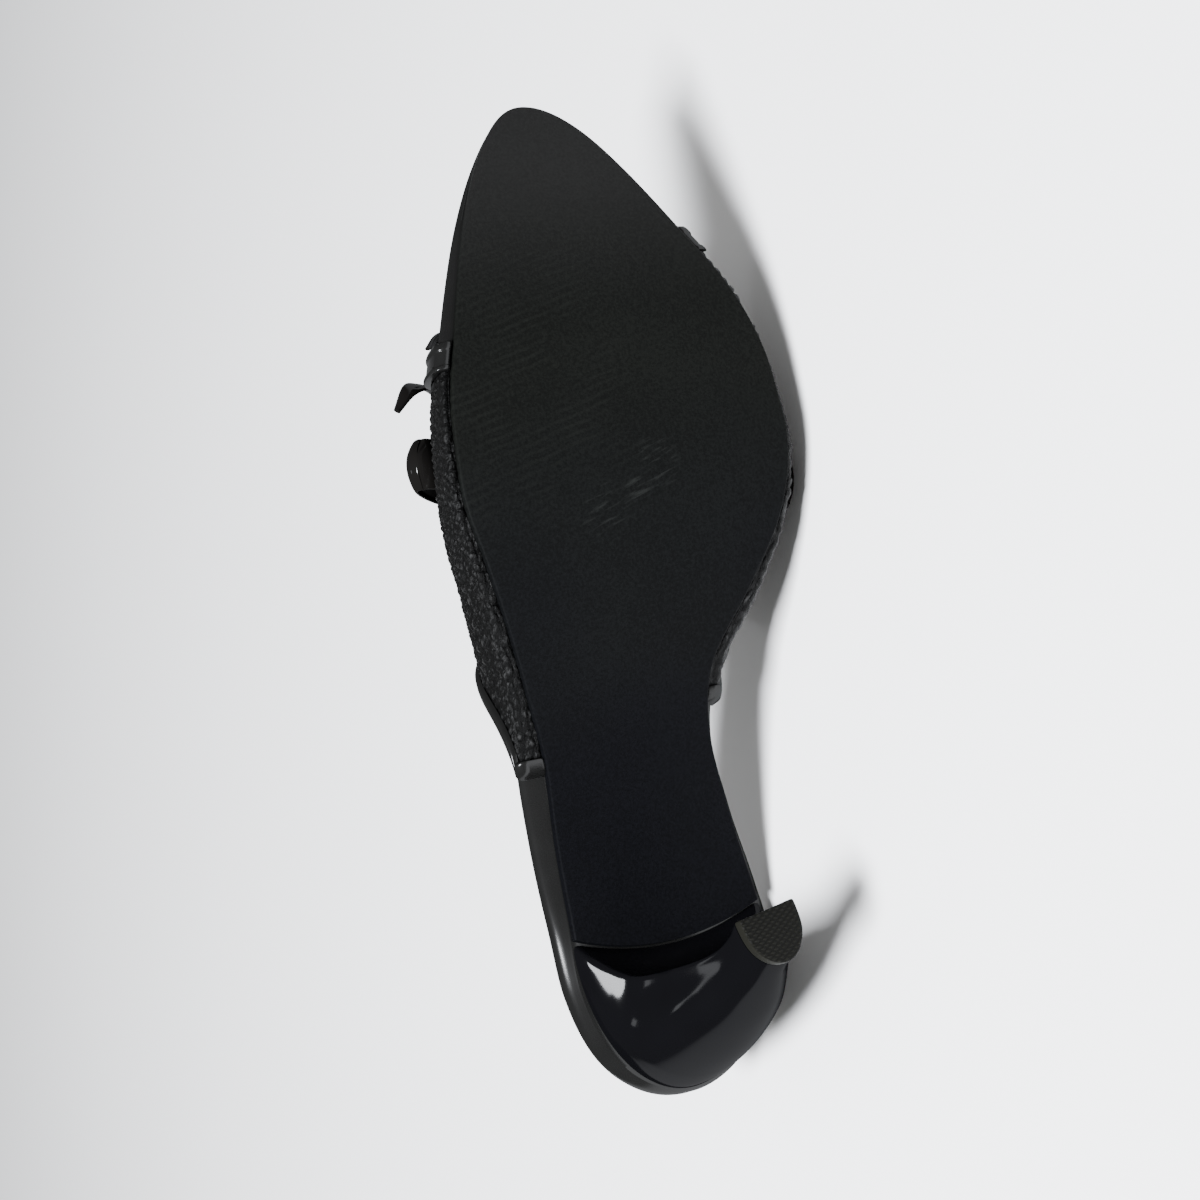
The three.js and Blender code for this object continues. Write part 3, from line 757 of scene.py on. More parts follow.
@dataclass(frozen=True)
class Patent(Finish):
    """Glossy patent skin: a dark body under a clear coat, with faint waves."""

    wave_depth: float = 0.00012
    wave_scale: float = 60.0
    coat: float = 0.03
    coat_roughness: float = 0.1
    coat_ior: float = 2.4
    wave_light: float = 1.5
    dust_color: tuple = (0.05, 0.05, 0.05)
    dust_share: float = 0.08
    dust_roughness: float = 0.15

    def build(self, effects: Effects) -> bpy.types.Material:
        """The material. Waves tilt the coat's reflections, and dust dulls it in patches."""
        material, graph, shader, place = self.start()
        grain = effects.add_grain(graph, place, fine=1400.0, wave=self.wave_scale, share=0.04)
        bump = graph.add("Bump", None, Height=grain["Height"], Distance=self.wave_depth,
                         Strength=1.0)
        dust = graph.add("Group", {"node_tree": effects.wear}, Vector=place, Streak_Scale=500.0,
                         Patch_Scale=40.0, Limit=0.6)
        tone = graph.blend(grain["Tone"], shade(self.color), shade(self.color, self.wave_light))
        graph.feed(shader.inputs["Base Color"], graph.blend(
            graph.math("MULTIPLY", dust.outputs["Mask"], self.dust_share), tone, shade(self.dust_color)))
        graph.feed(shader.inputs["Roughness"], graph.math(
            "ADD", self.roughness, graph.math("MULTIPLY", dust.outputs["Mask"], self.dust_roughness)))
        graph.feed(shader.inputs["Normal"], bump.outputs["Normal"])
        shader.inputs["Specular IOR Level"].default_value = 0.0
        shader.inputs["Coat Weight"].default_value = self.coat
        shader.inputs["Coat Roughness"].default_value = self.coat_roughness
        shader.inputs["Coat IOR"].default_value = self.coat_ior
        return material


@dataclass(frozen=True)
class SoleRubber(Finish):
    """Matte rubber with fine grain, faint ribs across the forefoot and scuffs at the ball."""

    rib_turn: float = 0.26
    rib_pitch: float = 0.0021
    rib_start: float = 0.122
    rib_end: float = 0.215
    rib_share: float = 0.22
    rib_light: float = 4.0
    scuff_turn: float = 0.33
    scuff_up: float = 0.002
    scuffs: tuple = ((0.1405, 0.006, 0.008), (0.1345, 0.0, 0.006), (0.131, -0.009, 0.0085))
    scuff_color: tuple = (0.03, 0.032, 0.03)
    scuff_share: float = 0.17
    streaks: tuple = (1200.0, 130.0, 130.0)
    speck_share: float = 0.55
    speck_light: float = 2.6
    waist: tuple = (0.0009, 0.00095, 0.0013)
    waist_end: tuple = (0.11, 0.2)
    toe: tuple = (0.0062, 0.0062, 0.006)
    toe_start: tuple = (0.175, 0.225)
    toe_light: float = 1.5
    rough_specks: float = 0.75
    specular: float = 0.028

    def ribs(self, graph: Graph, shoe: bpy.types.NodeSocket, effects: Effects) -> bpy.types.NodeSocket:
        """Ribs from 0 to 1, only on the forefoot and broken up by soft noise."""
        across = graph.add("Mapping", None, Vector=shoe, Rotation=(0, 0, self.rib_turn)).outputs[0]
        rib = graph.add("Group", {"node_tree": effects.ribs}, Vector=across, Pitch=self.rib_pitch,
                        Waver=0.0016).outputs[0]
        place = graph.add("SeparateXYZ", None, Vector=shoe).outputs
        along = place["X"]
        outer = graph.math("SUBTRACT", 1.0, graph.ramp(place["Y"], -0.005, 0.02))
        rib = graph.math("MULTIPLY", rib, outer)
        broad = graph.add("TexNoise", None, Vector=shoe, Scale=70.0, Detail=3.0).outputs["Fac"]
        part = graph.math("MULTIPLY", graph.ramp(along, self.rib_start, self.rib_start + 0.025),
                          graph.ramp(broad, 0.35, 0.7))
        end = graph.math("SUBTRACT", 1.0, graph.ramp(along, self.rib_end - 0.02, self.rib_end))
        return graph.math("MULTIPLY", graph.ramp(rib, 0.45, 1.0), graph.math("MULTIPLY", part, end))

    def marks(self, graph: Graph, shoe: bpy.types.NodeSocket) -> bpy.types.NodeSocket:
        """Scuffs from 0 to 1: fine stretched streaks, each group round its own place."""
        near = None
        for x, y, reach in self.scuffs:
            place = graph.add("VectorMath", {"operation": "DISTANCE"}, i0=shoe, i1=(x, y, self.scuff_up))
            apart = place.outputs["Value"]
            spot = graph.math("SUBTRACT", 1.0, graph.ramp(apart, reach * 0.3, reach))
            near = spot if near is None else graph.math("MAXIMUM", near, spot)
        turned = graph.add("Mapping", None, Vector=shoe, Rotation=(0, 0, self.scuff_turn)).outputs[0]
        streaks = graph.add("Mapping", None, Vector=turned, Scale=self.streaks).outputs[0]
        noise = graph.add("TexNoise", None, Vector=streaks, Scale=1.0, Detail=5.0, Distortion=0.4)
        return graph.math("MULTIPLY", graph.ramp(noise.outputs["Fac"], 0.5, 0.72), near)

    def build(self, effects: Effects) -> bpy.types.Material:
        """The material. Ribs, grain and scuffs all show in tone and height."""
        material, graph, shader, place = self.start()
        shoe = self.turned(graph, place)
        rib, marks = self.ribs(graph, shoe, effects), self.marks(graph, shoe)
        grain = effects.add_grain(graph, place, fine=1500.0, wave=35.0, share=0.75)
        height = graph.math("ADD", grain["Height"], graph.math("MULTIPLY", rib, 0.4))
        bump = graph.add("Bump", None, Height=height, Distance=0.0001, Strength=0.9)
        speck = graph.ramp(grain["Height"], 0.35, 0.65)
        along = graph.add("SeparateXYZ", None, Vector=shoe).outputs["X"]
        cloud = graph.add("TexNoise", None, Vector=shoe, Scale=16.0, Detail=1.0).outputs["Fac"]
        warm = graph.ramp(graph.math("ADD", along, graph.math("MULTIPLY", cloud, 0.06)), *self.waist_end)
        pale = graph.ramp(along, *self.toe_start)
        plain = graph.blend(pale, graph.blend(warm, shade(self.waist), shade(self.color)), shade(self.toe))
        behind = graph.blend(warm, shade(self.waist, self.speck_light), shade(self.color, self.speck_light))
        light = graph.blend(pale, behind, shade(self.toe, self.toe_light))
        tone = graph.blend(graph.math("MULTIPLY", speck, self.speck_share), plain, light)
        ribbed = graph.blend(graph.math("MULTIPLY", rib, self.rib_share), tone,
                             shade(self.color, self.rib_light))
        worn = graph.blend(graph.math("MULTIPLY", marks, self.scuff_share), ribbed, shade(self.scuff_color))
        graph.feed(shader.inputs["Base Color"], worn)
        graph.feed(shader.inputs["Roughness"], graph.scale(
            grain["Tone"], self.roughness, self.rough_specks))
        graph.feed(shader.inputs["Normal"], bump.outputs["Normal"])
        shader.inputs["Specular IOR Level"].default_value = self.specular
        return material


@dataclass(frozen=True)
class Straw(Finish):
    """Glossy woven strips with painted glints: streaked along the strips, where they stand high."""

    slant: float = 0.6
    fibres: tuple = (1.7, 1.3, 0.45)
    # gain of the painted glints on the strips' high parts
    light: float = 17.0
    dull: float = 0.6
    specular: float = 0.075

    def build(self, effects: Effects) -> bpy.types.Material:
        """The material. The strips' height is kept on the mesh as the attribute relief."""
        material, graph, shader, place = self.start()
        relief = graph.add("Attribute", {"attribute_name": "relief"}).outputs["Fac"]
        shoe = self.turned(graph, place)
        slanted = graph.add("Mapping", None, Vector=shoe, Rotation=(0, self.slant, 0)).outputs[0]
        fibres = graph.add("Mapping", None, Vector=slanted, Scale=self.fibres).outputs[0]
        grain = effects.add_grain(graph, fibres, fine=1500.0, wave=650.0, share=0.5)
        # Painted glints: colour lifted where the strips stand high and along their streaks; the grooves
        # keep the dark base as painted shade.
        tone = graph.math("MULTIPLY", graph.ramp(relief, 0.4, 0.82),
                          graph.ramp(grain["Tone"], 0.5, 0.68))
        color = graph.blend(tone, shade(self.color), shade(self.color, self.light))
        bump = graph.add("Bump", None, Height=grain["Height"], Distance=0.0007, Strength=1.0)
        graph.feed(shader.inputs["Base Color"], color)
        rough = graph.scale(grain["Tone"], self.roughness, self.dull)
        graph.feed(shader.inputs["Roughness"], rough)
        graph.feed(shader.inputs["Normal"], bump.outputs["Normal"])
        shader.inputs["Specular IOR Level"].default_value = self.specular
        return material


@dataclass(frozen=True)
class LiftRubber(Finish):
    """Hard rubber with a fine diamond tread."""

    pitch: float = 0.0011
    slants: tuple = (0.6, -0.6)
    face_height: float = 0.00025
    side_light: float = 3.5
    tread_light: float = 3.0
    specular: float = 0.05

    def build(self, effects: Effects) -> bpy.types.Material:
        """The material. Two crossing sets of ribs make the diamonds."""
        material, graph, shader, place = self.start()
        shoe = self.turned(graph, place)
        sets = []
        for slant in self.slants:
            turned = graph.add("Mapping", None, Vector=shoe, Rotation=(0, 0, slant)).outputs[0]
            sets.append(graph.add("Group", {"node_tree": effects.ribs}, Vector=turned, Pitch=self.pitch,
                                  Waver=0.0002).outputs[0])
        height = graph.add("SeparateXYZ", None, Vector=shoe).outputs["Z"]
        face = graph.math("SUBTRACT", 1.0, graph.ramp(height, self.face_height, 2 * self.face_height))
        diamonds = graph.math("MULTIPLY", graph.math("MULTIPLY", sets[0], sets[1]), face)
        grain = effects.add_grain(graph, place, fine=1800.0, wave=120.0, share=0.6)
        fine = graph.math("MULTIPLY", grain["Height"], 0.4)
        bump = graph.add("Bump", None, Height=graph.math("ADD", diamonds, fine), Distance=0.00022,
                         Strength=1.0)
        side = graph.blend(face, shade(self.color, self.side_light), shade(self.color))
        tread = graph.blend(diamonds, side, shade(self.color, self.tread_light))
        graph.feed(shader.inputs["Base Color"], tread)
        graph.feed(shader.inputs["Normal"], bump.outputs["Normal"])
        shader.inputs["Specular IOR Level"].default_value = self.specular
        return material


@dataclass(frozen=True)
class SoftLeather(Finish):
    """Plain black leather for the sock and the linings, with a fine grain."""

    def build(self, effects: Effects) -> bpy.types.Material:
        """The material. Grain makes both height and tone."""
        material, graph, shader, place = self.start()
        grain = effects.add_grain(graph, place, fine=1100.0, wave=70.0, share=0.7)
        bump = graph.add("Bump", None, Height=grain["Height"], Distance=0.00018, Strength=0.8)
        graph.feed(shader.inputs["Base Color"], graph.blend(
            grain["Tone"], shade(self.color), shade(self.color, 1.6)))
        graph.feed(shader.inputs["Roughness"], graph.scale(grain["Tone"], self.roughness, 0.65))
        graph.feed(shader.inputs["Normal"], bump.outputs["Normal"])
        return material


@dataclass(frozen=True)
class PaleFloor(Finish):
    """Plain pale studio floor."""

    def build(self) -> bpy.types.Material:
        """The material: one soft pale tone with the faintest clouding."""
        material, graph, shader, place = self.start()
        cloud = graph.add("TexNoise", None, Vector=place, Scale=3.0, Detail=2.0)
        graph.feed(shader.inputs["Base Color"], graph.blend(
            cloud.outputs["Fac"], shade(self.color), shade(self.color, 0.985)))
        return material


class Surface(Enum):
    """The finishes that the sandal's pieces can have."""

    PATENT = Patent("Black patent", (0.0014, 0.0014, 0.0017), 0.25)
    # Trim patent has a lighter body than the heel's: partly painted sheen for the soft grey highlight on
    # the bindings and the footbed rim.
    TRIM = Patent("Patent trim", (0.0036, 0.0036, 0.0035), 0.3, wave_depth=0.0001,
                  wave_scale=160.0, coat=0.08, coat_roughness=0.2)
    RIBBON = Patent("Patent ribbon", (0.0027, 0.0025, 0.0023), 0.3, wave_depth=0.0002,
                    wave_scale=110.0, coat=0.06, coat_roughness=0.09)
    SOLE = SoleRubber("Matte sole rubber", (0.0019, 0.0021, 0.0018), 0.6)
    STRAW = Straw("Woven straw", (0.0009, 0.0009, 0.0009), 0.4)
    LIFT = LiftRubber("Heel lift rubber", (0.0017, 0.0017, 0.0013), 0.6)
    SOCK = SoftLeather("Footbed leather", (0.004, 0.004, 0.004), 0.45)


class Wardrobe:
    """Keeps one material for each finish and dresses pieces with it."""

    def __init__(self) -> None:
        """Builds the shared effects and all the finishes."""
        effects = Effects()
        self.materials = {surface: surface.value.build(effects) for surface in Surface}

    def dress(self, piece: bpy.types.Object, surface: Surface, slot: str, *nodes: str) -> None:
        """Gives a piece its material and its place in the frame.

        Args:
            piece: the object.
            surface: its finish.
            slot: material slot of the record; not used.
            *nodes: CAD nodes that it stands for.
        """
        piece.data.materials.clear()
        piece.data.materials.append(self.materials[surface])
        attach(piece, "root")
        if nodes:
            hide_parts(*nodes)
        LOG.info("%s: %d faces, %s", piece.name, len(piece.data.polygons), surface.value.name)


@dataclass
class Slab:
    """A flat body from the lines of its side, in rings across it.

    Each ring runs along the bottom from the outer to the inner side, up the inner side, back along the
    top and down the outer side.
    """

    lines: list
    across: int

    def __post_init__(self) -> None:
        """Works out the rings: bottom and top are straight blends between the two sides."""
        share = np.linspace(0, 1, self.across)[None, :, None]
        levels = self.lines
        bottom = mix(levels[0][0][:, None], levels[0][1][:, None], share)
        top = mix(levels[-1][1][:, None], levels[-1][0][:, None], share)
        inner = np.stack([line[1] for line in levels[1:-1]], 1)
        outer = np.stack([line[0] for line in levels[-2:0:-1]], 1)
        self.rings = np.concatenate([bottom, inner, top, outer], 1)

    @property
    def top(self) -> slice:
        """Places of the top's points in a ring."""
        first = self.across + len(self.lines) - 2
        return slice(first, first + self.across)

    @property
    def bottom(self) -> slice:
        """Places of the bottom's points in a ring."""
        return slice(0, self.across)

    def rises(self, ups: list[float]) -> Array:
        """One value for each point of a ring, from one for each level."""
        sides = ups[1:-1]
        return np.array([ups[0]] * self.across + sides + [ups[-1]] * self.across + sides[::-1])

    def build(self, name: str, ends: tuple) -> bpy.types.Object:
        """The body's object, capped at the ends that are cut. The number of levels is even."""
        mirror = 2 * self.across + len(self.lines) - 3
        return loft(name, self.rings, fold_cap(self.rings.shape[1], mirror), ends=ends)


@dataclass
class Outsole:
    """Thin rubber sole from the heel's breast to the toe."""

    bevel: float = 0.6
    steps: int = 260
    tail_fade: float = 22.0
    edge_levels: int = 6
    across: int = 61
    toe_inset: float = 0.5
    upper_edge: tuple = (0.08, 0.1)

    def build(self) -> bpy.types.Object:
        """The sole: its outline's lines with a rounded lower edge, flat across.

        The tail bulges back by dent (1 - v^2), v across, where it fits the heel's hollow breast.

        Returns:
            The sole's object.
        """
        last = LAST
        start = last.breast_place
        turn = np.linspace(0, np.pi / 2, self.edge_levels)
        levels = [(self.bevel * (1 - np.sin(a)), self.bevel * (1 - np.cos(a))) for a in turn]
        inset, down = self.upper_edge
        levels += [(0.0, last.sole_thickness - down), (inset, last.sole_thickness)]
        lines = []
        for inset, up in levels:
            def edge(x: Array, side: int, inset: float = inset) -> Array:
                """Distance past the sole's outline."""
                return -inset - self.toe_inset * last.fore_edge(x) * (side < 0)

            lines.append(last.level_lines(start, self.steps, edge,
                                          lambda x, up=up: last.sole_under(x) + up))
        slab = Slab(lines, self.across)
        rings = slab.rings
        half = np.abs(rings[:, :, 1]).max(1, keepdims=True)
        v = rings[:, :, 1] / np.maximum(half, 1e-6)
        fade = 1 - smoothstep(rings[:, :, 0], start, start + self.tail_fade)
        rings[:, :, 0] -= (last.breast_dent * (1 - v * v) - last.clearance) * fade
        rings[:, :, 2] = last.sole_under(rings[:, :, 0]) + slab.rises([up for _, up in levels])
        return slab.build("sole", (True, False))


@dataclass
class Footbed:
    """Padded board with a rounded glossy rim, and the sock on it."""

    steps: int = 420
    rim_levels: int = 14
    start_lead: float = 1.9
    back_run: float = 0.9
    front_run: float = 0.6
    toe_rim: float = 1.0
    rim_table: Array = field(default_factory=lambda: np.array(
        [(0.0, 0.0), (0.25, 0.8), (0.55, 1.0), (0.85, 0.7), (1.0, -0.1)]))
    across: int = 25
    cup_depth: float = 1.2
    cup_width: float = 18.0
    cup_fade: tuple = (50.0, 130.0)
    sock_inset: float = 2.6
    sock_gap: float = 0.4
    sock_levels: tuple = ((0.05, 0.0), (0.2, 0.0), (0.4, 0.05), (0.5, 0.2))

    def under_vamp(self, x: Array, side: int) -> Array:
        """How much of the rim is taken up by the vamp's wall, from 0 to 1."""
        last = LAST
        back = last.back_edge_outer if side < 0 else last.back_edge_inner
        front = last.toe_edge_outer if side < 0 else last.toe_edge_inner
        start = back + self.start_lead
        rise = smoothstep(x, start - self.back_run, start)
        return rise * (1 - smoothstep(x, front - self.front_run, front + self.front_run))

    def build(self) -> bpy.types.Object:
        """The board: lines at rising levels, each past the outline by the rim table's share."""
        last = LAST
        tuck = last.wall + last.clearance + last.binding_thickness
        lines = []
        for level in np.linspace(0, 1, self.rim_levels):
            up = float(share_of(np.array(np.pi * level)))
            past = float(smooth_curve(self.rim_table[:, 0], self.rim_table[:, 1], np.array([up]))[0])

            def edge(x: Array, side: int, past: float = past) -> Array:
                """Distance past the sole's outline."""
                rim = last.rim_past(x, side)
                bare = rim * past + self.toe_rim * last.fore_edge(x) * past * (side < 0)
                return mix(bare, rim - tuck, self.under_vamp(x, side))

            lines.append(last.level_lines(
                last.sole_start, self.steps, edge,
                lambda x, up=up: last.bed_under(x) + up * last.bed_thickness(x)))
        slab = self.slab_of(lines)
        self.dish(slab, slab.top)
        return slab.build("footbed_board", (False, False))

    def slab_of(self, lines: list) -> Slab:
        """A slab from its levels' lines, which meet on the middle line at the back."""
        for pair in lines:
            for line in pair:
                line[0, 1] = 0
        return Slab(lines, self.across)

    def dish(self, slab: Slab, part: slice) -> None:
        """Sinks a slab's top or bottom by cup depth times 1 - v^2, v across, where the heel is wide."""
        v = np.linspace(-1, 1, self.across)
        half = np.abs(slab.rings[:, part, 1]).max(1, keepdims=True)
        fade = 1 - smoothstep(slab.rings[:, part, 0], *self.cup_fade)
        fade = fade * smoothstep(half, 0, self.cup_width)
        slab.rings[:, part, 2] -= self.cup_depth * (1 - v * v) * fade

    def build_sock(self) -> bpy.types.Object:
        """The sock: a thin leather sheet on the board, inside its rim.

        Each of its levels has a lift over the board and an inset.

        Returns:
            The sock's object.
        """
        last = LAST
        lines = []
        for lift, inset in self.sock_levels:
            def edge(x: Array, side: int, inset: float = inset) -> Array:
                """Distance past the sole's outline, inside the rim and the vamp."""
                rim = last.rim_past(x, side)
                tucked = rim - last.wall - 2 * last.clearance - last.binding_thickness
                bare = mix(-self.sock_inset, tucked, self.under_vamp(x, side))
                return bare - inset - self.sock_gap

            lines.append(last.level_lines(
                last.sole_start, self.steps, edge,
                lambda x, lift=lift: last.bed_under(x) + last.bed_thickness(x) + lift))
        slab = self.slab_of(lines)
        self.dish(slab, slab.top)
        self.dish(slab, slab.bottom)
        return slab.build("footbed_sock", (False, False))


@dataclass
class Heel:
    """Curved heel covered in patent, and its lift."""

    lift_width: float = 15.6
    lift_face_width: float = 14.2
    lift_thickness: float = 3.5
    twist: float = -0.15
    lean: float = 2.4
    levels: int = 110
    back_steps: int = 96
    breast_steps: int = 40
    corner_turn: float = 0.8
    lift_edge: tuple = ((0.0, -0.7), (0.12, -0.3), (0.4, -0.06), (0.9, 0.0), (3.1, 0.0), (3.35, -0.06),
                        (3.5, -0.25))

    def heel_at(self, up: Array, column: str) -> Array:
        """One column of the heel's table."""
        return smooth_curve(HEEL[:, 0], HEEL[:, HEEL_COLUMNS.index(column)], up)

    def plan(self, up: Array, grow: float = 0.0) -> Array:
        """Level curves of the heel: a D whose straight side is the hollow breast.

        The back is a half ellipse widened by a smoothstep of the angle from its ends. The breast is
        set in by dent (1 - v^2), v across. The whole turns and leans towards the lift.

        Args:
            up: (n,) shares of the height from the lift to the seat.
            grow: how far the curve stands out of the heel, in mm.

        Returns:
            (n, points, 2) curves.
        """
        last = LAST
        depth = last.breast_place - last.sole_start - last.clearance
        back = last.sole_start + depth * self.heel_at(up, "back") - grow
        breast = last.sole_start + depth * self.heel_at(up, "breast") + grow
        seat_half = last.sole_half(np.array([last.breast_place]), -1)[0]
        half = mix(self.lift_width / 2, seat_half, self.heel_at(up, "width")) + grow
        face = mix(self.lift_face_width / 2, seat_half, self.heel_at(up, "face")) + grow
        dent = last.breast_dent * self.heel_at(up, "dent")
        angle = np.linspace(0, np.pi, self.back_steps + 1)[None]
        swell = smoothstep(np.minimum(angle, np.pi - angle), 0, self.corner_turn)
        width = mix(face[:, None], half[:, None], swell)
        curve = np.stack([breast[:, None] - (breast - back)[:, None] * np.sin(angle),
                          -width * np.cos(angle)], -1)
        across = (1 - 2 * np.arange(1, self.breast_steps) / self.breast_steps)[None]
        front = np.stack([breast[:, None] - dent[:, None] * (1 - across**2), face[:, None] * across], -1)
        ring = np.concatenate([curve, front], 1)
        low = ((1 - up) ** 2)[:, None]
        centre = ((back + breast) / 2)[:, None]
        x, y = ring[..., 0] - centre, ring[..., 1]
        cos, sin = np.cos(self.twist * low), np.sin(self.twist * low)
        return np.stack([centre + x * cos - y * sin, x * sin + y * cos + self.lean * low], -1)

    @staticmethod
    def soften(ring: Array, times: int) -> Array:
        """Rounds the corners of closed curves: each point moves to the mean of its neighbours."""
        for _ in range(times):
            ring = 0.5 * ring + 0.25 * (np.roll(ring, 1, 1) + np.roll(ring, -1, 1))
        return ring

    def build(self) -> bpy.types.Object:
        """The heel: its level curves, from the lift up to the footbed's sloping underside."""
        last = LAST
        up = np.linspace(0, 1, self.levels + 1)
        flat = self.soften(self.plan(up), 3)
        foot = self.lift_thickness + last.clearance * 0.5
        top = last.bed_under(flat[..., 0]) - last.clearance
        z = mix(foot, top, up[:, None])
        return loft("heel_block", np.concatenate([flat, z[..., None]], -1), flat_cap(flat[0]), sharp=50)

    def build_lift(self) -> bpy.types.Object:
        """The lift: one level curve as a plate. Rows of lift_edge, height and growth, round its edges."""
        rings = []
        for height, grow in self.lift_edge:
            flat = self.soften(self.plan(np.zeros(1), grow), 2)[0]
            rings.append(np.column_stack([flat, np.full(len(flat), height)]))
        return loft("heel_top_piece", np.array(rings), flat_cap(rings[0][:, :2]), sharp=30)


@dataclass
class Vamp:
    """The woven vamp: raised crossing strips outside, a smooth lining inside."""

    strands: int = 58
    rows: int = 42
    detail: int = 5
    relief: float = 0.85
    tuck_cells: int = 3
    tuck_pitch: float = 2.0
    inner_swell: float = 0.5
    bare_from: float = -1.5
    bare_to: float = 0.8
    base_height: float = 0.2
    skin_share: float = 0.6
    lining_gap: float = 0.02
    lining_rows: int = 61
    lining_points: int = 121

    @staticmethod
    def scatter(a: Array, b: Array) -> Array:
        """Scattered value from 0 to 1 for a cell: the fraction of 43758.5 sin(12.99 a + 78.23 b)."""
        value = 43758.5453 * np.sin(12.9898 * a + 78.233 * b)
        return value - np.floor(value)

    def weave(self, row: Array, strand: Array) -> Array:
        """Height of the weave from 0 to 1.

        In each cell one strip passes over: rounded across as sin^0.6 and along as sin^0.8. Strips
        sway, and each cell has its own height and a crinkle along its strip.

        Args:
            row: place along in cells.
            strand: place around in cells.

        Returns:
            The height.
        """
        sway = 0.2 * np.sin(1.7 * row + 2.3 * np.sin(0.9 * strand))
        sway = sway + 0.16 * np.sin(2.9 * strand + 1.3 * row)
        a, b = row + 0.6 * sway, strand + sway
        cell_a, cell_b = np.floor(a), np.floor(b)
        s, t = np.sin(np.pi * (a - cell_a)), np.sin(np.pi * (b - cell_b))
        over = (cell_a + cell_b) % 2 == 0
        across, along = np.where(over, s, t), np.where(over, t, s)
        vary = 0.6 + 0.4 * self.scatter(cell_a, cell_b)
        crinkle = 1 - 0.25 * self.scatter(np.floor(2 * a), np.floor(2 * b))
        return np.maximum(across, 0) ** 0.6 * np.maximum(along, 0) ** 0.8 * vary * crinkle

    def build(self) -> bpy.types.Object:
        """The woven outside, as a closed shell with a thin wall. Its inside has one point a strand.

        The weave fades out under the trims, from bare_from to bare_to beside their edges.

        Returns:
            The weave's object, with its height as the attribute relief.
        """
        last = LAST
        counts = self.rows, self.strands, self.tuck_cells
        rows, strands, margin = (count * self.detail for count in counts)
        row, strand = np.meshgrid(np.arange(rows + 1) / self.detail,
                                  np.arange(-margin, strands + margin + 1) / self.detail, indexing="ij")
        angle = last.strand_angle(np.clip(strand / self.strands, 0, 1))
        front, back = last.front_of(angle), last.back_of(angle)
        x = mix(front, back, row / self.rows)
        bare = 1.0
        for way, trim in ((front - x, last.band_width), (x - back, last.binding_width)):
            bare = bare * smoothstep(way, trim + self.bare_from, trim + self.bare_to)
        height = self.weave(row, strand) * bare
        lift = (height - self.base_height * bare) * self.relief
        lift += self.inner_swell * smoothstep(angle, 2.5, np.pi) * bare
        over = last.vamp_point(x, angle, lift)
        under = last.vamp_point(x, angle, -last.wall * self.skin_share)
        margins = (slice(0, margin), -1, -strand), (slice(-margin, None), 1, strand - self.strands)
        for part, side, way in margins:
            place = x[:, part], side, way[:, part] * self.tuck_pitch
            over[:, part] = last.tucked(*place, lift[:, part])
            under[:, part] = last.tucked(*place, np.full_like(lift[:, part], last.tuck_inside))
        rings = np.concatenate([over, under[:, :: -self.detail]], 1)
        relief = np.concatenate([height, np.zeros_like(height[:, :: -self.detail])], 1)
        return loft("vamp_weave", rings, strip_cap(over.shape[1], self.detail), relief=relief, gap=0.0)

    def build_lining(self) -> bpy.types.Object:
        """The lining: the wall's inner part, smooth on both faces."""
        last = LAST
        row, strand = np.meshgrid(np.linspace(0, 1, self.lining_rows),
                                  np.linspace(0, 1, self.lining_points), indexing="ij")
        angle = last.strand_angle(strand)
        x = mix(last.front_of(angle), last.back_of(angle), row)
        outer = last.vamp_point(x, angle, -last.wall * self.skin_share - self.lining_gap)
        inner = last.vamp_point(x, angle, -last.wall)
        rings = np.concatenate([outer, inner[:, ::-1]], 1)
        return loft("vamp_lining", rings, fold_cap(rings.shape[1], rings.shape[1] - 1))


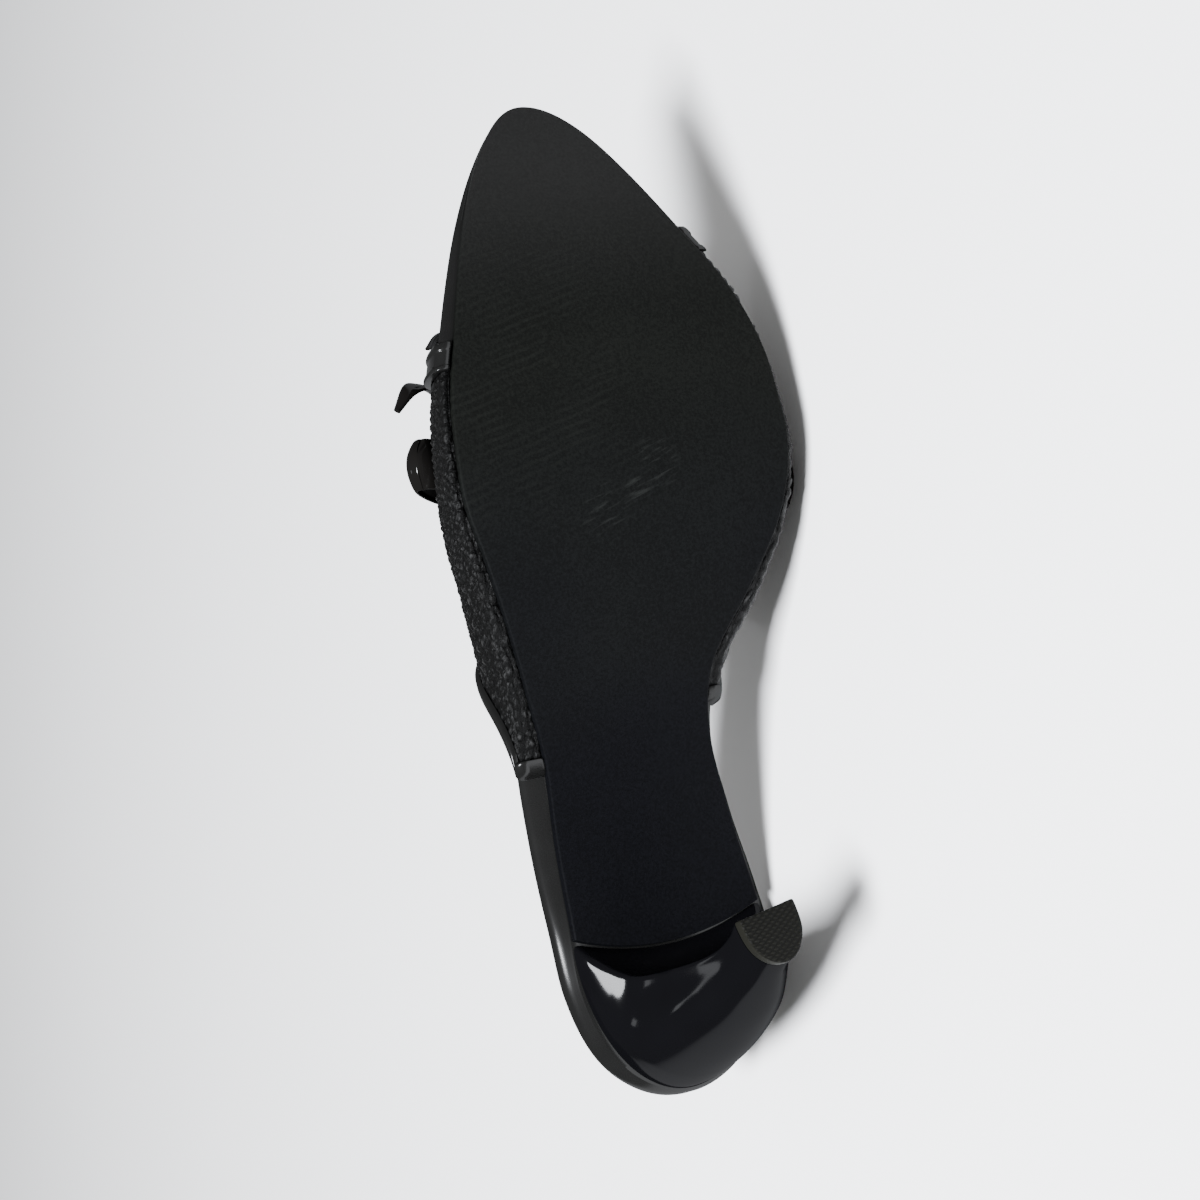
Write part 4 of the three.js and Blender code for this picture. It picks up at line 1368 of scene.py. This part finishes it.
@dataclass
class Trims:
    """Patent band at the open toe and binding at the back edge, folded over the vamp's edges."""

    band_thickness: float = 2.0
    steps: int = 220
    end_rows: int = 12
    end_start: float = 0.12
    end_reach: float = 1.25
    end_slim: float = 0.45

    def folded(self, name: str, edge_of: Callable, sense: int, profile: Array) -> bpy.types.Object:
        """A profile carried along an edge of the vamp, then slimmed and tucked under both its ends.

        Args:
            name: object name.
            edge_of: x of the edge, from the angle.
            sense: -1 at the front edge, 1 at the back one.
            profile: (n, 2) points: mm from the edge into the vamp, and up from its face.

        Returns:
            The trim's object.
        """
        last = LAST
        angle = last.strand_angle(np.linspace(0, 1, self.steps + 1))[:, None]
        angle = np.broadcast_to(angle, (self.steps + 1, len(profile)))
        x = edge_of(angle) + sense * profile[None, :, 0]
        lift = np.broadcast_to(profile[None, :, 1], x.shape)
        rings = last.vamp_point(x, angle, lift)
        parts = []
        for side, end in ((-1, 0), (1, -1)):
            reach = float(last.rim_past(x[end, :1], side)[0])
            length = max(reach, last.tuck_radius) * self.end_reach
            way = np.linspace(self.end_start, length, self.end_rows)[:, None] * np.ones_like(x[:1])
            slim = 1 - self.end_slim * way / length
            margin = np.maximum(lift[end][None], last.tuck_inside) * slim
            parts.append(last.tucked(np.broadcast_to(x[end], way.shape), side, way, margin))
        rings = np.concatenate([parts[0][::-1], rings, parts[1]])
        return loft(name, rings, flat_cap(profile), sharp=60)

    def build_band(self) -> bpy.types.Object:
        """The toe band: two piped ridges outside, a flat leg inside."""
        gap, width = LAST.clearance, LAST.band_width
        crown, groove = gap + self.band_thickness, gap + self.band_thickness * 0.78
        under = -LAST.wall - gap
        leg, nose = under - LAST.binding_thickness / 2, gap + LAST.binding_thickness / 2
        table = np.array([
            (-gap, gap, 0.1), (width, gap, 0.2), (width, groove, 0.5), (width * 0.95, crown, 0.4),
            (width * 0.84, crown, 0.35), (width * 0.78, groove, 0.25), (width * 0.2, groove, 0.25),
            (width * 0.14, crown, 0.35), (0.0, crown, 0.7), (-nose, groove, 0.9),
            (-nose, leg * 0.7, 0.9), (-gap, leg, 0.6), (width * 0.7, leg, 0.3), (width * 0.7, under, 0.2),
            (-gap, under, 0.1)])
        return self.folded("toe_band_patent", LAST.front_of, -1, round_profile(table[:, :2], table[:, 2]))

    def build_binding(self) -> bpy.types.Object:
        """The back binding: a rounded strip over the edge."""
        gap, width, thick = LAST.clearance, LAST.binding_width, LAST.binding_thickness
        crown, under = gap + thick, -LAST.wall - gap
        table = np.array([
            (-gap, gap, 0.1), (width, gap, 0.2), (width * 0.85, crown, 0.8), (-gap, crown, 0.9),
            (-gap - thick, gap - LAST.wall / 2, 0.9), (-gap, under - thick / 2, 0.6),
            (width * 0.8, under - thick / 2, 0.3), (width, under, 0.2), (-gap, under, 0.1)])
        return self.folded("back_binding_patent", LAST.back_of, 1, round_profile(table[:, :2], table[:, 2]))


@dataclass
class Bow:
    """Ribbon bow on the vamp: two loops, a knot and two tails."""

    ribbon_width: float = 13.0
    ribbon_thickness: float = 1.5
    reach: float = 49.0
    knot_width: float = 10.0
    knot_length: float = 15.0
    knot_height: float = 8.5
    middle: tuple = (153.8, 101.0)
    weave_relief: float = 0.5
    ring_points: int = 48
    loop_steps: int = 220
    tail_steps: int = 140
    knot_rings: int = 61
    knot_points: int = 72
    twist_part: tuple = (0.4, 0.75)
    pleat_reach: tuple = (0.12, 0.1)
    pleats: float = 0.35
    ripple: float = 0.12
    crown_spread: float = 0.2
    root_share: float = 0.62
    tail_lift: float = 5.0
    outer_end: tuple = (158.7, 35.0, 9.0)
    inner_end: tuple = (134.5, 173.0, 4.6)
    crown: float = 0.4
    curled_tail: Array = field(default_factory=lambda: np.array(
        [(0.096, 98, 0.38), (0.208, 91, 0.56), (0.3, 80, 0.76), (0.382, 64, 0.88), (0.433, 50, 1.0),
         (0.453, 38, 1.12), (0.412, 31, 1.4), (0.3, 28, 1.84)]))
    front_tail: Array = field(default_factory=lambda: np.array(
        [(0.096, 106, 0.38), (0.229, 109, 0.56), (0.392, 103, 0.76), (0.586, 82, 0.92),
         (0.698, 62, 1.0), (0.708, 46, 1.0), (0.627, 35, 0.9)]))

    def ribbon(
        self, name: str, path: Array, widths: Array, steps: int, pleats: float, crown: float,
        twist: float = 0.0,
    ) -> bpy.types.Object:
        """A ribbon along a path on the vamp.

        Its section is a thin lens. Pleats lift it by a cosine across, strongest at the path's ends.
        Half way, its edges stand back by crown v^2, v across, with a bell curve along the path.

        Args:
            name: object name.
            path: rows of x, turn in degrees and lift of the ribbon's middle.
            widths: widths at even steps of the way.
            steps: rings along the path less one.
            pleats: depth of the pleats at the start, in mm.
            crown: how far the edges stand back half way, in mm.
            twist: turn of the ribbon about its way at the path's end, in radians.

        Returns:
            The ribbon's object.
        """
        last, t = LAST, np.linspace(0, 1, steps + 1)
        line = catmull_rom(last.vamp_point(path[:, 0], np.radians(path[:, 1]), path[:, 2]), t)
        turns = catmull_rom(path, t)
        normal = last.vamp_normal(turns[:, 0], np.radians(turns[:, 1]))
        way = unit(np.gradient(line, axis=0))
        across = unit(np.cross(normal, way))
        turns_over = np.sign(np.sum(across[1:] * across[:-1], 1))
        across *= np.cumprod(np.concatenate([[1.0], turns_over]))[:, None]
        face = unit(np.cross(way, across))
        turned = twist * smoothstep(t, *self.twist_part)[:, None]
        cos, sin = np.cos(turned), np.sin(turned)
        across, face = across * cos + face * sin, face * cos - across * sin
        half = smooth_curve(np.linspace(0, 1, len(widths)), widths, t) / 2
        round_turn = np.linspace(0, 2 * np.pi, self.ring_points, endpoint=False)
        side, up = np.cos(round_turn), np.sin(round_turn)
        thick = self.ribbon_thickness / 2 * np.sign(up) * np.abs(up) ** 0.7 * 0.9
        first, second = self.pleat_reach
        root = np.exp(-t / first) + np.exp(-(1 - t) / second) * (pleats > 0)
        fold = pleats * root[:, None] * np.cos(3 * np.pi * side)[None] * 0.5
        ripple = self.ripple * np.sin(9 * np.pi * t)[:, None] * side[None] * (1 - root[:, None].clip(0, 1))
        back = crown * np.exp(-(((t - 0.5) / self.crown_spread) ** 2))[:, None] * side[None] ** 2
        lift = thick[None] + fold + ripple + back
        points = (line[:, None] + across[:, None] * (half[:, None] * side[None])[..., None]
                  + face[:, None] * lift[..., None])
        return loft(name, points, fold_cap(self.ring_points, self.ring_points - 1), sharp=70)

    def build_loop(self, name: str, end: tuple) -> bpy.types.Object:
        """A loop: out along the vamp, round, and back over itself to the knot."""
        low = self.weave_relief + 3 * LAST.clearance + self.ribbon_thickness / 2
        high = low + end[2] - self.ribbon_thickness
        root = (self.knot_width / 2 + self.ribbon_thickness) / self.reach
        turn = (high - low) / 2 / self.reach
        course = np.array([
            (root, low + self.ribbon_thickness), (0.3, low), (0.6, low), (1 - turn, low),
            (1 - turn * 0.25, mix(low, high, 0.2)), (1, mix(low, high, 0.5)),
            (1 - turn * 0.25, mix(low, high, 0.8)), (1 - turn, high),
            (0.6, high + self.ribbon_thickness), (0.3, high), (root, low + self.knot_height * 0.5)])
        path = np.column_stack([mix(self.middle[0], end[0], course[:, 0]),
                                mix(self.middle[1], end[1], course[:, 0]), course[:, 1]])
        full = self.ribbon_width
        slim = full * self.root_share
        widths = np.array([slim, full * 0.9, full, full, full, full * 0.9, slim])
        return self.ribbon(name, path, widths, self.loop_steps, self.pleats, self.crown * end[2])

    def build_tail(self, name: str, rows: Array, twist: float, tip: float) -> bpy.types.Object:
        """A tail that narrows to its cut tip.

        Args:
            name: object name.
            rows: shares of the bow's reach ahead of its middle, turns in degrees, shares of the lift.
            twist: turn of the tip about the tail's way, in radians.
            tip: share of the ribbon's width at the tip.

        Returns:
            The tail's object.
        """
        shares = [0.35, 0.6, 0.85, 0.85, 0.6, 0.35 + tip * 0.6, 0.16 + tip * 1.2, tip]
        widths = np.array(shares) * self.ribbon_width
        path = np.column_stack([self.middle[0] + rows[:, 0] * self.reach, rows[:, 1],
                                rows[:, 2] * self.tail_lift])
        return self.ribbon(name, path, widths, self.tail_steps, 0.0, 0.0, twist)

    def build_knot(self) -> bpy.types.Object:
        """The knot: elliptic rings that swell to the middle, with folds lying along it."""
        last = LAST
        at = np.array([self.middle[0]]), np.radians([self.middle[1]])
        point, normal = last.vamp_point(*at, 0.0)[0], last.vamp_normal(*at)[0]
        end = last.vamp_point(np.array([self.inner_end[0]]), np.radians([self.inner_end[1]]), 0.0)[0]
        ahead = end - point
        along = unit(ahead - normal * np.dot(ahead, normal))
        across = np.cross(normal, along)
        rise = self.weave_relief + 3 * last.clearance + self.ribbon_thickness
        share = np.sin(np.linspace(-np.pi / 2, np.pi / 2, self.knot_rings))
        swell = np.sqrt(1 - 0.75 * share**2)[:, None]
        turn = np.linspace(0, 2 * np.pi, self.knot_points, endpoint=False)[None]
        fold = 1 - 0.045 * (1 + np.cos(7 * turn + 1.2 * share[:, None])) * (np.sin(turn) > -0.6)
        out = self.knot_width / 2 * swell * np.cos(turn) * fold
        up = rise + self.knot_height / 2 * swell * (1 + np.sin(turn) * fold)
        points = (point + across * (share * self.knot_length / 2)[:, None, None]
                  + along * out[..., None] + normal * up[..., None])
        return loft("bow_knot_patent", points, fold_cap(self.knot_points, self.knot_points - 1), sharp=70)


@dataclass
class Studio:
    """Camera, soft lights and the pale floor."""

    camera_place: tuple = (3.92, -198.01, -424.92)
    camera_right: tuple = (-0.257747, 0.910675, -0.322859)
    camera_down: tuple = (-0.94013, -0.159258, 0.301319)
    camera_ahead: tuple = (0.222986, 0.381193, 0.897201)
    lens: float = 63.16
    sensor: float = 36.0
    floor_size: float = 6.0
    floor_color: tuple = (0.92, 0.92, 0.92)
    light_color: tuple = (0.94, 0.96, 1.0)
    sky_strength: float = 0.4
    lights: tuple = (("key", (-0.43, -0.42, 1.1), (-0.03, 0.0, 0.03), 0.38, 84.0),
                     ("back", (0.0, 0.72, 0.97), (-0.09, 0.0, 0.04), 0.12, 0.6))

    def set_camera(self) -> None:
        """Puts the camera at the photograph's place, turned with the shoe."""
        camera = bpy.data.cameras.new("camera")
        camera.lens = self.lens
        camera.sensor_width = self.sensor
        camera.clip_start = 0.01
        holder = bpy.data.objects.new("camera", camera)
        bpy.context.scene.collection.objects.link(holder)
        axes = np.stack([self.camera_right, -np.array(self.camera_down), -np.array(self.camera_ahead)], 1)
        turned = POSE.turn @ axes
        place = POSE.lay(np.array([self.camera_place]))[0]
        matrix = np.eye(4)
        matrix[:3, :3], matrix[:3, 3] = turned, place
        holder.matrix_world = Matrix(matrix.tolist())
        bpy.context.scene.camera = holder

    def add_light(self, name: str, place: tuple, aim: tuple, size: float, power: float) -> None:
        """A square soft light.

        Args:
            name: object name.
            place: where it stands, in metres.
            aim: the point that it faces.
            size: edge in metres.
            power: watts.
        """
        light = bpy.data.lights.new(name, "AREA")
        light.size, light.energy, light.color = size, power, self.light_color
        holder = bpy.data.objects.new(name, light)
        bpy.context.scene.collection.objects.link(holder)
        ahead = unit(np.array(aim, float) - np.array(place, float))
        right = unit(np.cross(ahead, (0.0, 0.0, 1.0) if abs(ahead[2]) < 0.99 else (0.0, 1.0, 0.0)))
        matrix = np.eye(4)
        matrix[:3, :3] = np.stack([right, np.cross(right, ahead), -ahead], 1)
        matrix[:3, 3] = place
        holder.matrix_world = Matrix(matrix.tolist())

    def build(self) -> None:
        """Sets the floor, the surroundings, the lights and the camera."""
        half = self.floor_size / 2
        mesh = bpy.data.meshes.new("floor")
        mesh.from_pydata([(-half, -half, 0), (half, -half, 0), (half, half, 0), (-half, half, 0)], [],
                         [(0, 1, 2, 3)])
        floor = bpy.data.objects.new("floor", mesh)
        bpy.context.scene.collection.objects.link(floor)
        floor.data.materials.append(PaleFloor("Pale floor", self.floor_color, 0.6).build())
        world = bpy.data.worlds.new("studio")
        bpy.context.scene.world = world
        world.use_nodes = True
        sky = world.node_tree.nodes["Background"].inputs
        sky["Color"].default_value = (1, 1, 1, 1)
        sky["Strength"].default_value = self.sky_strength
        for light in self.lights:
            self.add_light(*light)
        self.set_camera()


def main() -> None:
    """Loads the frame, builds the sandal's pieces in order and sets the studio."""
    logging.basicConfig(level=logging.INFO, format="%(message)s")
    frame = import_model()
    POSE.read(frame["record"])
    wardrobe = Wardrobe()
    Studio().build()

    wardrobe.dress(Outsole().build(), Surface.SOLE, "sole_rubber", "outsole")
    footbed = Footbed()
    wardrobe.dress(footbed.build(), Surface.TRIM, "patent", "footbed")
    wardrobe.dress(footbed.build_sock(), Surface.SOCK, "patent")
    heel = Heel()
    wardrobe.dress(heel.build(), Surface.PATENT, "patent", "heel")
    wardrobe.dress(heel.build_lift(), Surface.LIFT, "lift_rubber", "heel_lift")
    vamp = Vamp()
    wardrobe.dress(vamp.build(), Surface.STRAW, "woven", "vamp")
    wardrobe.dress(vamp.build_lining(), Surface.SOCK, "patent")
    trims = Trims()
    wardrobe.dress(trims.build_band(), Surface.TRIM, "patent", "toe_band")
    wardrobe.dress(trims.build_binding(), Surface.TRIM, "patent", "back_binding")
    bow = Bow()
    for node, end in (("bow_loop_outer", bow.outer_end), ("bow_loop_inner", bow.inner_end)):
        wardrobe.dress(bow.build_loop(node + "_ribbon", end), Surface.RIBBON, "patent", node)
    wardrobe.dress(bow.build_knot(), Surface.RIBBON, "patent", "bow_knot")
    for node, path, twist, tip in (("bow_tail_back", bow.curled_tail, 1.3, 0.13),
                                   ("bow_tail_front", bow.front_tail, 0.0, 0.06)):
        wardrobe.dress(bow.build_tail(node + "_ribbon", path, twist, tip), Surface.RIBBON, "patent", node)


if __name__ == "__main__":
    main()
